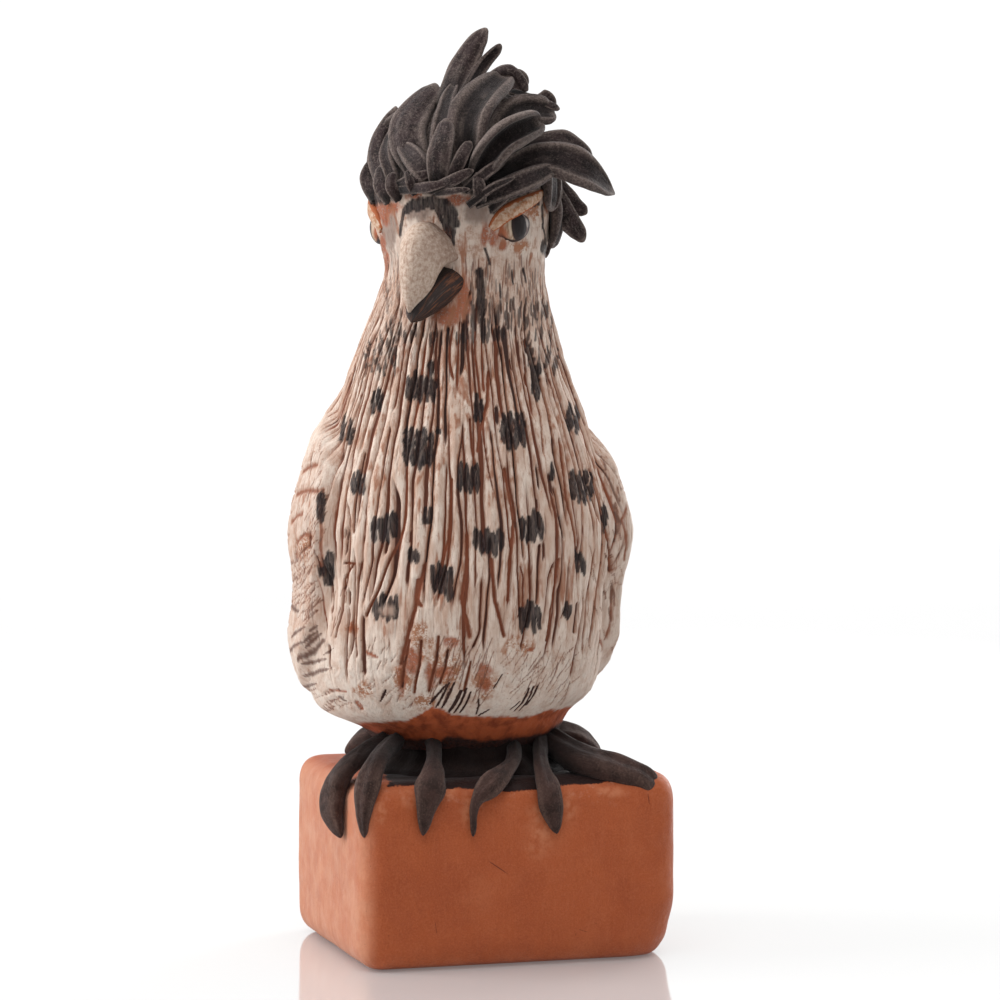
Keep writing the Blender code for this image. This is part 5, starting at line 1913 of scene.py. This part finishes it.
# Each toe's places: the photograph's x and y, and the upright plane that they lie on, as
# its bearing in degrees from the front round to the left and its distance from the block's
# middle in mm. Then the toe's width at each place and its thickness as a share of it.
LEFT_OUTER = (
    (386, 741, 0, 16), (353, 763, 90, 62), (337, 785, 90, 67.4), (333, 811, 90, 69.2), (341, 838, 90, 67.7),
)
LEFT_MIDDLE = (
    (396, 741, 0, 18), (377, 761, 0, 44), (368, 784, 45, 78.6), (364, 808, 45, 81), (364, 838, 45, 80),
)
LEFT_INNER = (
    (433, 737, 0, 20), (434, 762, 0, 44), (431, 787, 0, 55), (427, 808, 0, 57), (423, 836, 0, 56),
)
RIGHT_INNER = (
    (512, 737, 0, 20), (513, 760, 0, 42), (490, 785, 0, 55), (476, 804, 0, 57), (473, 837, 0, 56),
)
RIGHT_MIDDLE = (
    (541, 737, 0, 20), (541, 762, 0, 44), (548, 786, 0, 55), (552, 808, 0, 57), (557, 834, 0, 56),
)
RIGHT_OUTER = (
    (548, 740, 0, 20), (580, 760, 0, 40), (616, 771, 0, 46), (640, 779, 0, 47), (653, 787, 0, 47),
)
TOES = (
    (LEFT_OUTER, (8, 10, 14, 13, 4), 0.66),
    (LEFT_MIDDLE, (8, 9, 10.2, 8, 2.5), 0.5),
    (LEFT_INNER, (7, 6.5, 12, 9, 2.2), 0.42),
    (RIGHT_INNER, (7, 5.5, 10, 4.6, 1.8), 0.5),
    (RIGHT_MIDDLE, (7, 5.5, 10, 10, 2.2), 0.42),
    (RIGHT_OUTER, (11, 14, 14, 12.5, 9), 0.8),
)

# The toes at the back, which the bird hides: places in mm from the block's middle.
HIDDEN_TOES = (
    (((-30, 10, 87), (-37, 22, 85.5), (-42, 33, 82), (-46, 43, 76)), (9, 13, 12, 5)),
    (((19.6, 1.6, 87), (36, 7.5, 86), (46, 10.5, 82), (55.5, 13.5, 76)), (9, 13, 12, 5)),
)
HIDDEN_THICKNESS = 0.7


def toe(places, widths, thickness, seed):
    """A toe through some places, flat against the block and tapered to a blunt claw."""
    at = np.linspace(0, len(places) - 1, TOE_RINGS)
    spine = np.stack(smooth_path(places, at), -1)
    half = curve_through(list(enumerate(widths)), at) / 2 * MM
    share = np.linspace(0, 1, TOE_RINGS)
    to_tip = np.clip((share - TOE_BLUNT) / (1 - TOE_BLUNT), 0, 1)
    half = half * np.sqrt(np.clip(1 - to_tip**2, 0.004, 1))
    ahead = unit(np.gradient(spine, axis=0))
    middle = spine - np.array([0, 0, BLOCK_HEIGHT / 2])
    out = middle - np.clip(middle, BLOCK_EDGE - BLOCK_HALF, BLOCK_HALF - BLOCK_EDGE)
    out = unit(out + np.array([0, 0, 1e-6]))
    across = unit(np.cross(ahead, out))
    out = unit(np.cross(across, ahead))
    half, share = half[:, None], share[:, None]
    turn = ring_turns(TOE_SIDES)
    side, rise = np.cos(turn), np.sin(turn)
    draw = np.random.RandomState(seed)
    off_keel = side - draw.uniform(-0.35, 0.35)
    ridge = KEEL_HIGH * np.exp(-((off_keel / KEEL_WIDE) ** 2))
    ridge = ridge - GROOVE_DEEP * np.exp(-(((off_keel - GROOVE_ASIDE) / GROOVE_WIDE) ** 2))
    wide = half * side * (1 + 0.08 * np.sin(9 * share + draw.uniform(0, 6)))
    root_round = 1 + (TOE_ROOT_ROUND / thickness - 1) * soft_step(0.4, 0, share)
    deep = half * thickness * root_round * (rise + ridge * soft_step(0, 0.6, rise))
    rings = swept(spine, across, out, wide, deep)
    lumpy = 0.6 * lump_mottle(rings, 4.5 * MM, seed) + 0.3 * lump_mottle(rings, 1.6 * MM, seed + 1, 5)
    rings = rings + unit(rings - spine[:, None]) * (lumpy * soft_step(0, 0.15, 1 - share) * MM)[..., None]
    # paler along the upper edges: wear, and painted highlight too
    edge = np.exp(-(((np.abs(side) - TOE_EDGE) / RIM_WIDE) ** 2)) * soft_step(-0.2, 0.4, rise)
    worn = np.maximum(edge * (0.5 + 0.5 * lumpy), soft_step(0.2, 0.7, lumpy) * 0.6)
    worn = np.clip(worn, 0, 1) * soft_step(0.2, 0.5, share)
    # the root near the pad darkened as painted shade
    return lump(rings, worn=worn, hollow=soft_step(0.5, 0.12, share))


def seen_toe(places, widths, thickness, seed):
    """One of the toes that the photograph shows, from its row in the table."""
    spots = []
    for x, y, bearing, distance in places:
        facing = np.array([-math.sin(math.radians(bearing)), -math.cos(math.radians(bearing)), 0])
        spots.append(seen_on(x, y, facing * distance * MM, facing))
    return toe(spots, widths, thickness, seed)


def foot_pad():
    """The lump of clay under the belly, folded a little all round."""
    turn = ring_turns(PAD_SIDES)
    at = np.linspace(0, len(PAD_RINGS) - 1, PAD_LEVELS)
    level, flare = (part[:, None] for part in smooth_path(PAD_RINGS, at))
    folds = 1 + 0.035 * np.sin(9 * turn + 1.3) + 0.02 * np.sin(23 * turn + level * 0.2)
    right = PAD_RIGHT + PAD_HALF_WIDTH * flare * folds * np.cos(turn)
    near = PAD_HALF_DEPTH * flare * folds * np.sin(-turn)
    rings = placed(0.0, right, near, level + 0 * turn)
    lumpy = lump_mottle(rings, 5 * MM, 51, 1.5)
    rings = rings + unit(rings - rings.mean(1)[:, None]) * (0.5 * lumpy * MM)[..., None]
    # painted shade: the whole lump takes the darkest colour
    return lump(rings, worn=np.clip(0.2 * lumpy, 0, 1), hollow=np.ones_like(lumpy))


feet_slip = black_slip("feet_black_slip", 51, ((64, 42, 36), (42, 26, 22), (108, 84, 74), (16, 3, 2)))
lumps = [foot_pad()] + [seen_toe(*row, 400 + 3 * k) for k, row in enumerate(TOES)]
for k, (places, widths) in enumerate(HIDDEN_TOES):
    lumps.append(toe(np.array(places) * MM, widths, HIDDEN_THICKNESS, 430 + k))
clay_piece("feet", *gathered(lumps), feet_slip)
